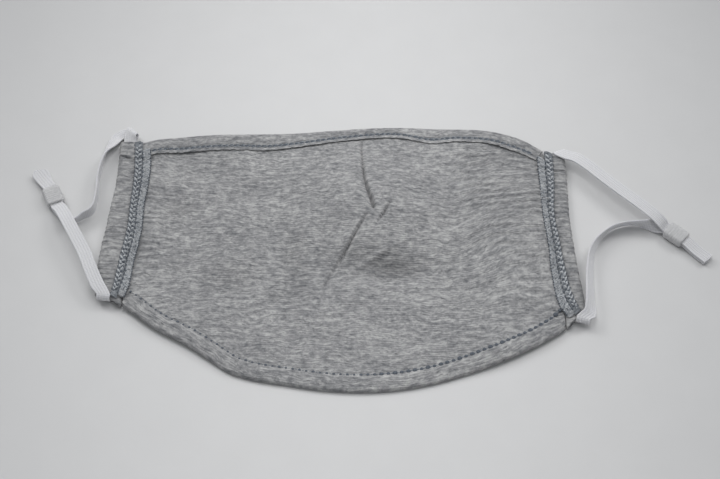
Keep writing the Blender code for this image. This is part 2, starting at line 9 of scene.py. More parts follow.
import bpy
import numpy as np
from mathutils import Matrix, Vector

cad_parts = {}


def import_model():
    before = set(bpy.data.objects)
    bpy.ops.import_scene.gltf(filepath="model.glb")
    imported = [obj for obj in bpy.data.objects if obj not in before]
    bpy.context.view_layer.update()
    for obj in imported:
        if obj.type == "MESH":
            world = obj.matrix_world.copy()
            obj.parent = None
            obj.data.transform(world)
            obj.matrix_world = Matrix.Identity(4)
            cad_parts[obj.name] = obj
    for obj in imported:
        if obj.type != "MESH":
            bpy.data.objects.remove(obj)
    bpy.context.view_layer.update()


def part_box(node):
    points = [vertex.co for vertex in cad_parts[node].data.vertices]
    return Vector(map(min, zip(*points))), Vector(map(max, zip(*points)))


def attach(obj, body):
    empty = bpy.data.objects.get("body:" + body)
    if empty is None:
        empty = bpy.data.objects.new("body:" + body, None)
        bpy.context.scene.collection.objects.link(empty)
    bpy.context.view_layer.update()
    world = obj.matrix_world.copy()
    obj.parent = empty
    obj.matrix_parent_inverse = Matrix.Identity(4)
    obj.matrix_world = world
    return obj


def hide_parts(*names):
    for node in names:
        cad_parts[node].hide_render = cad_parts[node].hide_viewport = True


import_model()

# Sizes of the mask, in metres
MASK_WIDTH = 0.2108
SIDE_HEIGHT = 0.087
TOP_RISE = 0.0159
BOTTOM_DROP = 0.0426
PANEL_WALL = 0.0016
CLOTH_WALL = 0.0009
HEM_WIDTH = 0.0086
CASING_WIDTH = 0.0092
SEAM_WIDTH = 0.0082
ELASTIC_WIDTH = 0.006
ELASTIC_THICKNESS = 0.0009
ELASTIC_CLEARANCE = 0.00035
LOOP_REACH = 0.04
TAIL_LENGTH = 0.0138
ADJUSTER_LENGTH = 0.0098
ADJUSTER_WALL = 0.0008
CROWN_HEIGHT = 0.0052
SEWN_GAP = 0.0003
SIDE_LEAN = 0.063
SIDE_BOW = 0.0044
BOW_REACH = 0.014

# Sizes of what only shows here, in metres
HEM_WALL = 0.0006          # one layer of jersey as it shows at the turned edges
HEM_GAP = 0.0001
SEAM_RISE = 0.001         # ridges of the overlocked bands over their seat
STITCH_PITCH = 0.0025      # along the overlocked bands
THREAD_INSET = 0.006       # share of the side that keeps its threads off the band's ends
ELASTIC_RIBS = 5           # an odd number, so that one runs along the middle
FINE_ACROSS = (-0.012, 0.032, 0.00045, 0.00125)   # where the panel's mesh has small steps, the
FINE_ALONG = (-0.036, 0.05, 0.00052, 0.0013)      # small step, and the step beside that stretch
COARSE = 3                 # upper faces along each side of an underface
HEM_NOSE = 0.16            # share of a hem's width over which its outer edge is rounded
FLOOR_HALF = 4.0
FLOOR_DROP = 0.0002        # keeps the cloth's lowest points out of the floor

# Sizes that follow
HALF_WIDTH = MASK_WIDTH / 2
HALF_SIDE = SIDE_HEIGHT / 2
CASING_HEIGHT = ELASTIC_THICKNESS + 2 * ELASTIC_CLEARANCE + 2 * CLOTH_WALL
CASING_MIDDLE = HALF_WIDTH - CASING_WIDTH / 2
PANEL_HALF = HALF_WIDTH - CASING_WIDTH - SEWN_GAP
PANEL_INSET = CLOTH_WALL + SEWN_GAP
LAYER_STEP = ELASTIC_THICKNESS + ELASTIC_CLEARANCE
ADJUSTER_HEIGHT = 2 * ELASTIC_THICKNESS + 3 * ELASTIC_CLEARANCE + 2 * ADJUSTER_WALL
ADJUSTER_WIDTH = ELASTIC_WIDTH + 2 * ELASTIC_CLEARANCE + 2 * ADJUSTER_WALL

# Nose edge: share of the half width, share of TOP_RISE
TOP_EDGE = [(-1.0, 0.0), (-0.9, 0.05), (-0.82, 0.22), (-0.685, 0.36), (-0.55, 0.44), (-0.41, 0.5),
            (-0.28, 0.59), (-0.14, 0.71), (0.0, 0.83), (0.135, 0.94), (0.27, 1.0), (0.41, 1.0),
            (0.545, 0.99), (0.68, 0.92), (0.77, 0.77), (0.855, 0.48), (0.92, 0.18), (1.0, 0.0)]

# Chin edge: share of the half width, share of BOTTOM_DROP
BOTTOM_EDGE = [(-1.0, 0.0), (-0.96, 0.03), (-0.885, 0.17), (-0.8, 0.33), (-0.64, 0.55), (-0.56, 0.68),
               (-0.46, 0.84), (-0.41, 0.88), (-0.22, 0.955), (-0.1, 0.99), (0.0, 1.0), (0.11, 0.99),
               (0.22, 0.955), (0.34, 0.885), (0.46, 0.785), (0.585, 0.66), (0.71, 0.51), (0.84, 0.32),
               (0.905, 0.205), (0.94, 0.115), (0.965, 0.06), (1.0, 0.01)]

# Turned edges: the way the cloth turns in, the hem's width along the mask (share of the half width,
# share of HEM_WIDTH), where its stitches start and end, their distance from the turned-in edge and
# from each other, and how far that edge stands up
NOSE_HEM = {
    "name": "turned_nose_edge", "node": "top_hem", "inward": -1,
    "widths": [(-1.0, 0.98), (-0.85, 1.05), (-0.73, 1.13), (-0.59, 1.1), (-0.45, 1.12), (-0.37, 1.19),
               (-0.19, 1.07), (0.0, 0.9), (0.1, 0.85), (0.22, 0.8), (0.31, 0.92), (0.39, 1.12),
               (0.52, 1.02), (0.61, 1.04), (0.72, 1.04), (0.78, 1.06), (0.88, 0.92), (1.0, 0.86)],
    "sewn": (-PANEL_HALF + 0.0035, PANEL_HALF - 0.0025),
    "stitch_in": 0.0024, "pitch": 0.0026, "lip": 0.00005}
CHIN_HEM = {
    "name": "turned_chin_edge", "node": "bottom_hem", "inward": 1,
    "widths": [(-1.0, 0.96), (-0.5, 1.0), (0.0, 1.02), (0.5, 0.98), (1.0, 0.96)],
    "sewn": (-PANEL_HALF - 0.003, PANEL_HALF + 0.0042),
    "stitch_in": 0.001, "pitch": 0.0029, "lip": -0.00034}

# What differs between the sides has the side as its key: -1 left, 1 right
SIDE_WORDS = {-1: "left", 1: "right"}

# Bow of each side: share of half the side upwards, share of SIDE_BOW outwards
BOWS = {
    -1: [(-1.0, 0.9), (-0.7, 1.0), (-0.43, 0.89), (-0.17, 0.6), (0.09, 0.38), (0.22, 0.25),
         (0.35, 0.1), (0.55, 0.0), (1.0, 0.0)],
    1: [(-1.0, 0.06), (-0.77, 0.06), (-0.5, -0.1), (-0.2, -0.2), (0.19, -0.25), (0.55, -0.05),
        (0.8, 0.08), (1.0, 0.12)]}

# Overlocked band: share of the side's length upwards, distance of its outer edge from the casing's
# as a share of CASING_WIDTH, its width as a share of SEAM_WIDTH
SEAMS = {
    -1: [(0.0, 0.59, 0.52), (0.12, 0.73, 0.56), (0.25, 0.81, 0.57), (0.45, 0.92, 0.68),
         (0.6, 0.905, 0.72), (0.8, 0.9, 0.9), (1.0, 0.77, 0.95)],
    1: [(0.0, 0.26, 0.66), (0.12, 0.56, 0.76), (0.3, 0.7, 0.78), (0.45, 0.77, 0.66),
        (0.6, 0.84, 0.68), (0.8, 0.69, 0.82), (1.0, 0.625, 0.9)]}
BAND_ENDS = {-1: (0.022, 0.952), 1: (0.006, 0.95)}   # of its inner column
BAND_ON_HEMS = (0.1, 0.88)   # the band lies on the hems below and above these shares of the side
CASING_CREASES = {-1: (0.905, 0.0008), 1: (0.9, 0.00045)}  # share up the side, depth in metres

# Places where the cloth stands off the floor: centre and reach across as shares of the half width,
# centre and reach along as shares of half the side, height as a share of CROWN_HEIGHT
RISES = [
    ("fullness round the dart", 0.12, 0.6, 0.28, 1.02, 1.00),
    ("chin edge, left", -0.64, 0.4, -1.36, 0.72, 0.24),
    ("chin edge, right", 0.62, 0.32, -1.4, 0.42, 0.3),
    ("nose edge, left", -0.5, 0.34, 1.16, 0.36, 0.26),
    ("nose edge, right", 0.66, 0.26, 1.16, 0.36, 0.34),
]

# Free elastic, by rows: place beyond the casing as a share of LOOP_REACH, along the side as a share
# of half of it, height as a share of ELASTIC_WIDTH, lean in degrees. The crease at the casing's
# mouth has a place, the direction across the band in degrees, and the heights that it joins.
LEFT_UPPER = {
    "end": -1, "crease": (-0.005, -1.022, -6, 0.32, 0.8),
    "route": [(0.066, -0.915, 0.94, 0), (0.155, -0.745, 1.1, 0), (0.24, -0.559, 1.17, 0),
              (0.352, -0.366, 1.2, 0), (0.47, -0.166, 1.17, 0), (0.535, -0.055, 1.03, 0),
              (0.598, 0.048, 0.74, 0)]}
LEFT_LOWER = {
    "end": 1, "crease": (-0.126, 1.145, 138, 0.64, 0.14),
    "route": [(-0.046, 1.16, 0.14, 0), (0.032, 1.118, 0.15, 2), (0.11, 0.965, 0.33, 29),
              (0.168, 0.814, 0.53, 68), (0.198, 0.646, 0.56, 84), (0.212, 0.483, 0.56, 88),
              (0.205, 0.322, 0.56, 90), (0.213, 0.177, 0.56, 90), (0.232, 0.071, 0.56, 90),
              (0.275, 0.02, 0.56, 88), (0.34, -0.02, 0.56, 84), (0.405, -0.072, 0.54, 74),
              (0.462, -0.09, 0.48, 60), (0.525, -0.045, 0.4, 38), (0.58, 0.02, 0.31, 14)]}
RIGHT_UPPER = {
    "end": 1, "crease": (-0.045, 1.048, 22, 0.3, 0.62),
    "route": [(0.045, 0.985, 0.8, 0), (0.125, 0.945, 0.96, 0), (0.267, 0.818, 1.06, 0),
              (0.372, 0.715, 1.06, 0), (0.575, 0.517, 1.08, 0), (0.78, 0.326, 1.13, 0),
              (0.932, 0.182, 1.06, 0), (1.006, 0.115, 0.78, 0)]}
RIGHT_LOWER = {
    "end": -1, "crease": (-0.04, -1.09, -13, 0.3, 0.74),
    "route": [(0.034, -1.03, 0.82, 18), (0.052, -0.94, 0.88, 38), (0.062, -0.82, 0.9, 48),
              (0.083, -0.637, 0.82, 52), (0.115, -0.453, 0.7, 56), (0.15, -0.303, 0.62, 61),
              (0.22, -0.152, 0.57, 76), (0.302, -0.048, 0.56, 92), (0.427, 0.053, 0.56, 104),
              (0.57, 0.11, 0.56, 109), (0.712, 0.129, 0.54, 106), (0.832, 0.122, 0.49, 82),
              (0.912, 0.118, 0.38, 46), (0.985, 0.11, 0.3, 12)]}
# Adjusters: place as above, directions of the bore and of the tails, degrees that each tail is
# fanned by, length over which the tails' ends are rounded
LEFT_ADJUSTER = {"side": -1, "place": (0.712, 0.236), "bore": 118, "tails": 124, "fan": 5,
                 "rounded": 0.0026}
RIGHT_ADJUSTER = {"side": 1, "place": (1.152, 0.01), "bore": -40, "tails": -45, "fan": 0,
                  "rounded": 0.0005}
CASING_SHIFT = 0.2                         # of the elastic's room in the tunnel, near its mouths
CASING_STOPS = (0.26, 0.43, 0.48, 0.507)   # rows in the tunnel, from its middle
LEAST_SLANT = 0.9                          # keeps the band's width where a row isn't square to it

# Folds in the cloth. Each line is given as shares of the half width and of half the side; its
# slopes reach so far to the left and right of it, in metres; depths along it are in metres.
DART = [(0.094, 1.13), (0.092, 0.97), (0.095, 0.8), (0.101, 0.59), (0.113, 0.43), (0.13, 0.29),
        (0.137, 0.2), (0.143, 0.14)]
FOLDS = [
    ("dart line", DART, 0.0011, 0.0009,
     [0.001, 0.0012, 0.0012, 0.0013, 0.0015, 0.0017, 0.0013, 0.0]),
    ("dart wedge", DART, 0.0048, 0.0012,
     [0.0, 0.0002, 0.0006, 0.0012, 0.0022, 0.0028, 0.0022, 0.0]),
    ("long crease", [(0.106, 0.08), (0.064, -0.09), (0.028, -0.26), (-0.008, -0.43), (-0.05, -0.62),
                     (-0.082, -0.79)],
     0.0009, 0.0017, [0.0009, 0.0022, 0.0026, 0.0023, 0.002, 0.0009]),
    ("short crease", [(0.215, 0.26), (0.182, 0.12), (0.151, -0.02)],
     0.0009, 0.0016, [0.0006, 0.0022, 0.0006]),
    ("press line, left", [(-0.238, 0.02), (-0.247, -0.5), (-0.258, -1.15)],
     0.001, 0.006, [0.0003, 0.001, 0.0003]),
    ("press line, right", [(0.452, 0.06), (0.448, -0.5), (0.44, -1.1)],
     0.006, 0.001, [0.0003, 0.00085, 0.0003]),
    ("press line, nose", [(0.41, 0.92), (0.406, 0.55)],
     0.001, 0.004, [0.0006, 0.0]),
]

# Soft hollows and swells: centre across and along and half sizes in metres, turn in degrees,
# height in metres
SWELLS = [
    ("hollow under the dart", 0.0225, -0.024, 0.0175, 0.0052, 6, -0.0018),
    ("ridge over that hollow", 0.0159, -0.0168, 0.0078, 0.0014, 35, 0.001),
    ("swell over that hollow", 0.0175, -0.0125, 0.016, 0.0052, 24, 0.0006),
    ("hollow beside the ridge", 0.006, -0.018, 0.011, 0.0055, 20, -0.0011),
    ("small dent", -0.029, -0.042, 0.0052, 0.003, 8, -0.0011),
    ("swell right of the dart", 0.023, 0.02, 0.008, 0.016, -12, 0.0006),
    ("swell left of the dart", -0.001, 0.018, 0.008, 0.02, 8, 0.0003),
]

# Colours from the darkest fibre to the lightest, and patches darkened in the panel's colour: centre
# and half sizes in the flat cloth, share of the light kept. The first three are painted shade, of the
# hollow under the dart and of the shaded side of the left press line; the last two are darker patches.
JERSEY = ((0.126, 0.131, 0.14), (0.272, 0.273, 0.277), (0.468, 0.467, 0.462))
COVERED_JERSEY = ((0.1, 0.11, 0.124), (0.195, 0.209, 0.226), (0.33, 0.345, 0.36))
BARE_JERSEY = ((0.145, 0.156, 0.17), (0.262, 0.273, 0.285), (0.44, 0.448, 0.454))
PAINTED_SHADE_AND_DARK_PATCHES = [
    (0.0225, -0.0245, 0.012, 0.0045, 0.66), (0.013, -0.0195, 0.02, 0.0085, 0.82),
    (-0.0215, -0.022, 0.006, 0.02, 0.86), (-0.074, 0.008, 0.009, 0.007, 0.86),
    (-0.051, -0.028, 0.013, 0.008, 0.86)]

# The camera, from the photograph's perspective
CAMERA_ELEVATION = 54.4
CAMERA_AZIMUTH = 2.4
CAMERA_DISTANCE = 0.6
CAMERA_LENS = 66
VIEW_MIDDLE = (0.00833, -0.0066)   # from the mask's middle to what the picture's centre shows

# Area lights, all turned to one point on the floor: place, width and depth, watts
LIGHTS = [
    ("left_softbox", (-0.45, 0.4, 0.5), (0.3, 0.3), 0.298),
    ("right_softbox", (0.47, 0.4, 0.5), (0.3, 0.3), 0.246),
    ("overhead_panel", (0.0, 0.12, 0.46), (0.16, 0.8), 0.3),
]
LIGHTS_MEET = (VIEW_MIDDLE[0], -0.085)   # from the mask's middle
LIGHT_SPREAD = 68                        # degrees; a grid before each light narrows its beam
ROOM_COLOUR = (0.95, 0.97, 1.0, 1.0)
ROOM_STRENGTH = 0.36


# Curves and levels
def smooth_curve(rows, column=1):
    """Function that gives a table's column at shares along its first column."""
    xs = np.array([row[0] for row in rows], float)
    ys = np.array([row[column] for row in rows], float)
    slopes = np.gradient(ys, xs)

    def value(share):
        share = np.clip(share, xs[0], xs[-1])
        k = np.clip(np.searchsorted(xs, share), 1, len(xs) - 1)
        span = xs[k] - xs[k - 1]
        t = (share - xs[k - 1]) / span
        rise = ys[k] - ys[k - 1]
        start, end = slopes[k - 1] * span, slopes[k] * span
        square, cube = 3 * rise - 2 * start - end, start + end - 2 * rise
        return ys[k - 1] + start * t + square * t**2 + cube * t**3

    return value


def smooth_step(t):
    t = np.clip(t, 0.0, 1.0)
    return t * t * (3 - 2 * t)


def bell(distance, reach):
    return np.exp(-(distance / reach) ** 2)


def fading(distance, reach):
    """1 up to a distance of zero, then falling away."""
    return np.exp(-np.maximum(0.0, distance) / reach)


def wave(turns):
    return np.sin(2 * np.pi * turns)


def stacked(*columns):
    """Points from three coordinates, each a number or an array."""
    return np.stack(np.broadcast_arrays(*columns), axis=-1)


def upwards(height):
    return np.array((0.0, 0.0, height))


top_shares = smooth_curve(TOP_EDGE)
bottom_shares = smooth_curve(BOTTOM_EDGE)


def top_edge(s):
    return HALF_SIDE + TOP_RISE * top_shares(s / HALF_WIDTH)


def bottom_edge(s):
    return -HALF_SIDE - BOTTOM_DROP * bottom_shares(s / HALF_WIDTH)


def slope_of(edge, s):
    step = 0.01 * HALF_WIDTH
    return (edge(s + step) - edge(s - step)) / (2 * step)


def panel_ends(s):
    """Lower and upper end of the panel under its hems at s."""
    return [edge(s) + inward * PANEL_INSET * np.hypot(1, slope_of(edge, s))
            for edge, inward in ((bottom_edge, 1), (top_edge, -1))]


def up_side(s, share):
    """Place along a side, from its chin end at 0 to its nose end at 1."""
    return bottom_edge(s) + (top_edge(s) - bottom_edge(s)) * share


def mask_middle():
    """Where the frame holds the point midway between the casings' corners."""
    low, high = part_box("casing_left")
    x = low.x + HALF_WIDTH + SIDE_LEAN * top_edge(-HALF_WIDTH)
    y = high.y - top_edge(-HALF_WIDTH + CASING_WIDTH)
    return np.array((x, y, 0.0))


MIDDLE = mask_middle()
left_bow, right_bow = smooth_curve(BOWS[-1]), smooth_curve(BOWS[1])


def side_bow(s, y):
    """How far the cloth is drawn outwards beside a casing, along s."""
    near = smooth_step((np.abs(s) - HALF_WIDTH) / BOW_REACH + 1)
    share = y / HALF_SIDE
    return SIDE_BOW * near * np.where(np.asarray(s) < 0, -left_bow(share), right_bow(share))


def leant(s, y, z):
    """World place of the point s from the middle and y above it; also for arrays."""
    return stacked(s - SIDE_LEAN * y + MIDDLE[0], y + MIDDLE[1], z)


def world(s, y, z):
    """World place of a point of the cloth, whose sides are bowed."""
    return leant(s + side_bow(s, y), y, z)


def lift(s, y):
    """Height of the cloth's underside over the floor at s, y, before its folds."""
    height = 0.0
    for _name, s_middle, s_reach, y_middle, y_reach, share in RISES:
        across = (s / HALF_WIDTH - s_middle) / s_reach
        along = (y / HALF_SIDE - y_middle) / y_reach
        height = height + share * CROWN_HEIGHT * np.maximum(0.0, 1 - across**2 - along**2) ** 2
    return height


def fold_depth(s, y):
    """How far the folds sink the cloth at s, y: steep beside each line, easing off outwards."""
    depth = np.zeros(np.broadcast(s, y).shape)
    for _name, line, left, right, depths in FOLDS:
        best = np.zeros_like(depth)
        for (s0, y0), (s1, y1), d0, d1 in zip(line, line[1:], depths, depths[1:]):
            start = np.array((s0 * HALF_WIDTH, y0 * HALF_SIDE))
            run = np.array((s1 * HALF_WIDTH, y1 * HALF_SIDE)) - start
            t = np.clip(((s - start[0]) * run[0] + (y - start[1]) * run[1]) / np.dot(run, run), 0, 1)
            off_s, off_y = s - start[0] - t * run[0], y - start[1] - t * run[1]
            right_side = run[0] * off_y - run[1] * off_s > 0
            reach = np.where(right_side, right, left)
            near = np.maximum(0.0, 1 - np.hypot(off_s, off_y) / reach)
            best = np.maximum(best, (d0 + (d1 - d0) * t) * near**1.6)
        depth += best
    return depth


def swell_height(s, y):
    height = np.zeros(np.broadcast(s, y).shape)
    for _name, s0, y0, half_s, half_y, turn, rise in SWELLS:
        c, n = math.cos(math.radians(turn)), math.sin(math.radians(turn))
        across = ((s - s0) * c + (y - y0) * n) / half_s
        along = (-(s - s0) * n + (y - y0) * c) / half_y
        height += rise * np.exp(-across**2 - along**2)
    return height


def drawn(s, y):
    """How far the cloth's courses are drawn up along y where they bend."""
    shift = 0.0165 * smooth_step((s - 0.046) / 0.036) * bell(y - 0.004, 0.036)
    shift -= 0.003 * smooth_step((s + 0.098) / 0.045) * bell(y - 0.034, 0.022)
    shift += 0.045 * s * smooth_step((0.01 - y) / 0.05)
    return shift + 0.0016 * bell(s - 0.012, 0.02) * bell(y - 0.028, 0.02)


def ripples(s, y):
    """Slack of the cloth: long soft waves, ones along its courses, and short puckers at its edges."""
    waves = 0.00045 * np.sin(95 * s + 40 * y + 1.1) * np.sin(62 * y - 30 * s + 0.4)
    waves += 0.00024 * np.sin(230 * s - 120 * y + 2.0) * np.sin(150 * y + 60 * s)
    course = (y - drawn(s, y)) / 0.0052 + 0.4 * np.sin(64 * s + 1.3) + 0.25 * np.sin(170 * s + 60 * y)
    slack = 0.18 + 0.82 * smooth_step((s - 0.036) / 0.026)
    patchy = 0.55 + 0.45 * np.sin(105 * s + 150 * y + 0.8) * np.sin(88 * y - 60 * s)
    waves += 0.00035 * slack * patchy * wave(course)
    beside = fading(HALF_WIDTH - CASING_WIDTH - SEAM_WIDTH - np.abs(s), 0.006)
    wander = 0.35 * np.sin(310 * y + 2.0 * np.sin(120 * y))
    waves += 0.00026 * beside * wave(y / 0.0046 + wander)
    from_nose, from_chin = top_edge(s) - y, y - bottom_edge(s)
    near_hems = fading(from_nose - HEM_WIDTH, 0.005) + fading(from_chin - HEM_WIDTH, 0.005)
    drift = 0.4 * np.sin(260 * s + 1.7 * np.sin(95 * s))
    waves += 0.00016 * near_hems * wave(s / 0.0056 + drift)
    inside = np.minimum(from_nose, from_chin)
    return waves * (0.25 + 0.75 * smooth_step((inside - 0.9 * HEM_WIDTH) / 0.005))


def panel_level(s, y):
    """Height of the middle of the panel's wall: raised beside the casings to meet their middle."""
    beside = smooth_step((np.abs(s) - PANEL_HALF + 2.0 * CASING_WIDTH) / (1.4 * CASING_WIDTH))
    raised = (CASING_HEIGHT - PANEL_WALL) / 2
    return PANEL_WALL / 2 + raised * beside + lift(s, y)


def cloth_top(s, y):
    """Height of the panel's upper face, with its folds."""
    relief = swell_height(s, y) + ripples(s, y) - fold_depth(s, y)
    return np.maximum(panel_level(s, y) + PANEL_WALL / 2 + relief, 0.0006)


def graded(low, high, dense_low, dense_high, dense_step, open_step):
    """Positions from low to high, closer together in the dense stretch."""
    runs = [(low, dense_low, open_step), (dense_low, dense_high, dense_step),
            (dense_high, high, open_step)]
    places = [low]
    for start, end, step in runs:
        count = max(1, round((end - start) / step))
        places += list(np.linspace(start, end, count + 1)[1:])
    return np.array(places)


# Building meshes
def add_object(name, data):
    piece = bpy.data.objects.new(name, data)
    bpy.context.scene.collection.objects.link(piece)
    return piece


class Shape:
    """Points, faces and cloth places gathered for one object."""

    def __init__(self):
        self.points, self.places, self.faces, self.looks = [], [], [], []

    def add(self, points, places=None):
        first = len(self.points)
        points = np.asarray(points, float).reshape(-1, 3)
        self.points += list(points)
        self.places += list(points if places is None else np.asarray(places, float).reshape(-1, 3))
        return np.arange(first, first + len(points))

    def face(self, *corners, look=0):
        self.faces.append(tuple(int(c) for c in corners))
        self.looks.append(look)

    def loft(self, rings, places=None, look=0, joined=False):
        """Skin over closed rings of equal length, capped, or joined from the last to the first."""
        numbers = [self.add(ring, None if places is None else places[k]) for k, ring in enumerate(rings)]
        following = numbers[1:] + numbers[:1] if joined else numbers[1:]
        for near, far in zip(numbers, following):
            for k in range(len(near)):
                after = (k + 1) % len(near)
                self.face(near[k], near[after], far[after], far[k], look=look)
        if not joined:
            self.face(*numbers[0][::-1], look=look)
            self.face(*numbers[-1], look=look)

    def tube(self, path, radius, sides=6, flat=1.0, look=0, joined=False):
        """Round thread along a path; flat squashes it in Z; joined makes it a ring."""
        path = np.asarray(path, float)
        if joined:
            runs = np.roll(path, -1, axis=0) - np.roll(path, 1, axis=0)
        else:
            runs = np.gradient(path, axis=0)
        runs /= np.linalg.norm(runs, axis=1)[:, None] + 1e-12
        side = np.cross(runs, (0.0, 0.0, 1.0))
        side /= np.linalg.norm(side, axis=1)[:, None] + 1e-12
        up = np.cross(side, runs) * flat
        radii = np.broadcast_to(radius, len(path))
        angles = 2 * np.pi * np.arange(sides) / sides
        rings = [p + r * (np.outer(np.cos(angles), a) + np.outer(np.sin(angles), b))
                 for p, r, a, b in zip(path, radii, side, up)]
        self.loft(rings, look=look, joined=joined)

    def build(self, name, *materials):
        mesh = bpy.data.meshes.new(name)
        mesh.from_pydata([tuple(p) for p in self.points], [], self.faces)
        place = mesh.attributes.new("cloth_place", "FLOAT_VECTOR", "POINT")
        place.data.foreach_set("vector", np.array(self.places, np.float32).ravel())
        for material in materials:
            mesh.materials.append(material)
        mesh.polygons.foreach_set("material_index", self.looks)
        mesh.validate()
        mesh.shade_smooth()
        mesh.set_sharp_from_angle(angle=math.radians(60))
        return add_object(name, mesh)


def settle(piece, slot, *nodes):
    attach(piece, "root")
    if nodes:
        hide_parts(*nodes)
    return piece


# Materials
class Look:
    """A material and short calls for its nodes."""

    def __init__(self, name, settings):
        self.material = bpy.data.materials.new(name)
        self.material.use_nodes = True
        self.tree = self.material.node_tree
        self.shader = self.tree.nodes["Principled BSDF"]
        for key, value in settings.items():
            self.put(self.shader.inputs[key], value)

    def put(self, socket, value):
        """Link a socket to a node's output, or set its own value."""
        if hasattr(value, "is_output"):
            self.tree.links.new(value, socket)
        else:
            socket.default_value = (*value, 1.0) if socket.type == "RGBA" else value

    def node(self, kind, inputs, **settings):
        node = self.tree.nodes.new("ShaderNode" + kind)
        for key, value in settings.items():
            setattr(node, key, value)
        for key, value in inputs.items():
            self.put(node.inputs[key], value)
        return node

    def cloth_place(self):
        return self.node("Attribute", {}, attribute_name="cloth_place").outputs["Vector"]

    def object_place(self):
        return self.node("TexCoord", {}).outputs["Object"]

    def maths(self, operation, *values, clamp=False):
        return self.node("Math", dict(enumerate(values)), operation=operation, use_clamp=clamp).outputs[0]

    def weighted(self, total, *parts):
        """The total with each part added, which is a value and its weight."""
        for value, weight in parts:
            total = self.maths("MULTIPLY_ADD", value, weight, total)
        return total

    def vector(self, operation, a, b):
        return self.node("VectorMath", {0: a, 1: b}, operation=operation).outputs[0]

    def noise(self, place, scale, detail=2.0, roughness=0.55, output="Fac"):
        inputs = {"Vector": self.vector("MULTIPLY", place, scale), "Scale": 1.0, "Detail": detail,
                  "Roughness": roughness}
        return self.node("TexNoise", inputs).outputs[output]

    def wandering(self, place, scale, detail, reach):
        """The place moved to and fro along smooth noise."""
        away = self.vector("SUBTRACT", self.noise(place, scale, detail, 0.5, "Color"), (0.5, 0.5, 0.5))
        return self.vector("ADD", place, self.vector("MULTIPLY", away, reach))

    def waves(self, place, axis, scale, distortion):
        """Bands along one axis of the flat cloth."""
        along = self.vector("MULTIPLY", place, (float(axis == "X"), float(axis == "Y"), 0.0))
        inputs = {"Vector": along, "Scale": scale, "Distortion": distortion}
        return self.node("TexWave", inputs, bands_direction=axis).outputs["Fac"]

    def ramp(self, value, stops):
        node = self.node("ValToRGB", {"Fac": value})
        elements = node.color_ramp.elements
        while len(elements) < len(stops):
            elements.new(0.5)
        for element, (position, colour) in zip(elements, stops):
            element.position = position
            element.color = (*colour, 1.0)
        return node.outputs["Color"]

    def mix(self, share, a, b, blend="MIX"):
        node = self.node("Mix", {"Factor": share}, data_type="RGBA", blend_type=blend)
        self.put(node.inputs[6], a)
        self.put(node.inputs[7], b)
        return node.outputs[2]

    def finish(self, colour, height, strength, distance):
        """Colour and fine relief go to the shader."""
        self.put(self.shader.inputs["Base Color"], colour)
        bump = self.node("Bump", {"Height": height, "Strength": strength, "Distance": distance})
        self.put(self.shader.inputs["Normal"], bump.outputs[0])
        return self.material


def heather_look(name, shades, shade_and_dark_patches=()):
    """Jersey knitted from light and dark fibres: short streaks along the courses, and the given patches
    darkened, some of them as painted shade.
    """
    dark, middle, light = shades
    look = Look(name, {"Roughness": 0.95, "Sheen Weight": 0.12, "Sheen Roughness": 0.6,
                       "Specular IOR Level": 0.2})
    place = look.wandering(look.cloth_place(), (38, 60, 38), 2.0, (0.003, 0.004, 0.0))
    place = look.wandering(place, (120, 150, 90), 1.0, (0.0015, 0.0026, 0.0))
    clouds = look.noise(place, (30, 66, 50), 2.0, 0.5)
    total = look.weighted(-0.04, (look.noise(place, (205, 560, 420), 3.0), 0.46),
                          (look.noise(place, (560, 1000, 750)), 0.34),
                          (look.noise(place, (1400, 2300, 1500), 1.0, 0.5), 0.1), (clouds, 0.19))
    colour = look.ramp(total, [(0.36, dark), (0.5, middle), (0.64, light)])

    specks = look.noise(place, (330, 1500, 700), 2.0, 0.6)
    specks = look.maths("MULTIPLY", look.maths("SUBTRACT", specks, 0.64, clamp=True), 9.0, clamp=True)
    colour = look.mix(specks, colour, tuple(0.42 * c for c in dark))
    # Each patch darkens the colour along the clouds noise: painted shade where it lies on a hollow or a
    # fold's shaded side
    for s, y, half_s, half_y, kept in shade_and_dark_patches:
        offset = look.vector("SUBTRACT", place, (s, y, 0.0))
        offset = look.vector("MULTIPLY", offset, (1 / half_s, 1 / half_y, 0.0))
        far = look.node("VectorMath", {0: offset}, operation="LENGTH").outputs["Value"]
        share = look.maths("MULTIPLY", look.maths("SUBTRACT", 1.35, far, clamp=True), clouds)
        share = look.maths("MULTIPLY", share, 1.8, clamp=True)
        colour = look.mix(share, colour, (kept, kept, kept), "MULTIPLY")
    knit = look.weighted(total, (look.waves(place, "Y", 290.0, 0.0), 0.25))
    return look.finish(colour, knit, 0.45, 0.0007)


def thread_look(name, dark, light):
    """Spun sewing thread, finely mottled."""
    look = Look(name, {"Roughness": 0.75, "Sheen Weight": 0.1})
    ply = look.noise(look.object_place(), (2600, 2600, 2600), 2.0, 0.6)
    return look.finish(look.ramp(ply, [(0.35, dark), (0.65, light)]), ply, 0.4, 0.0002)


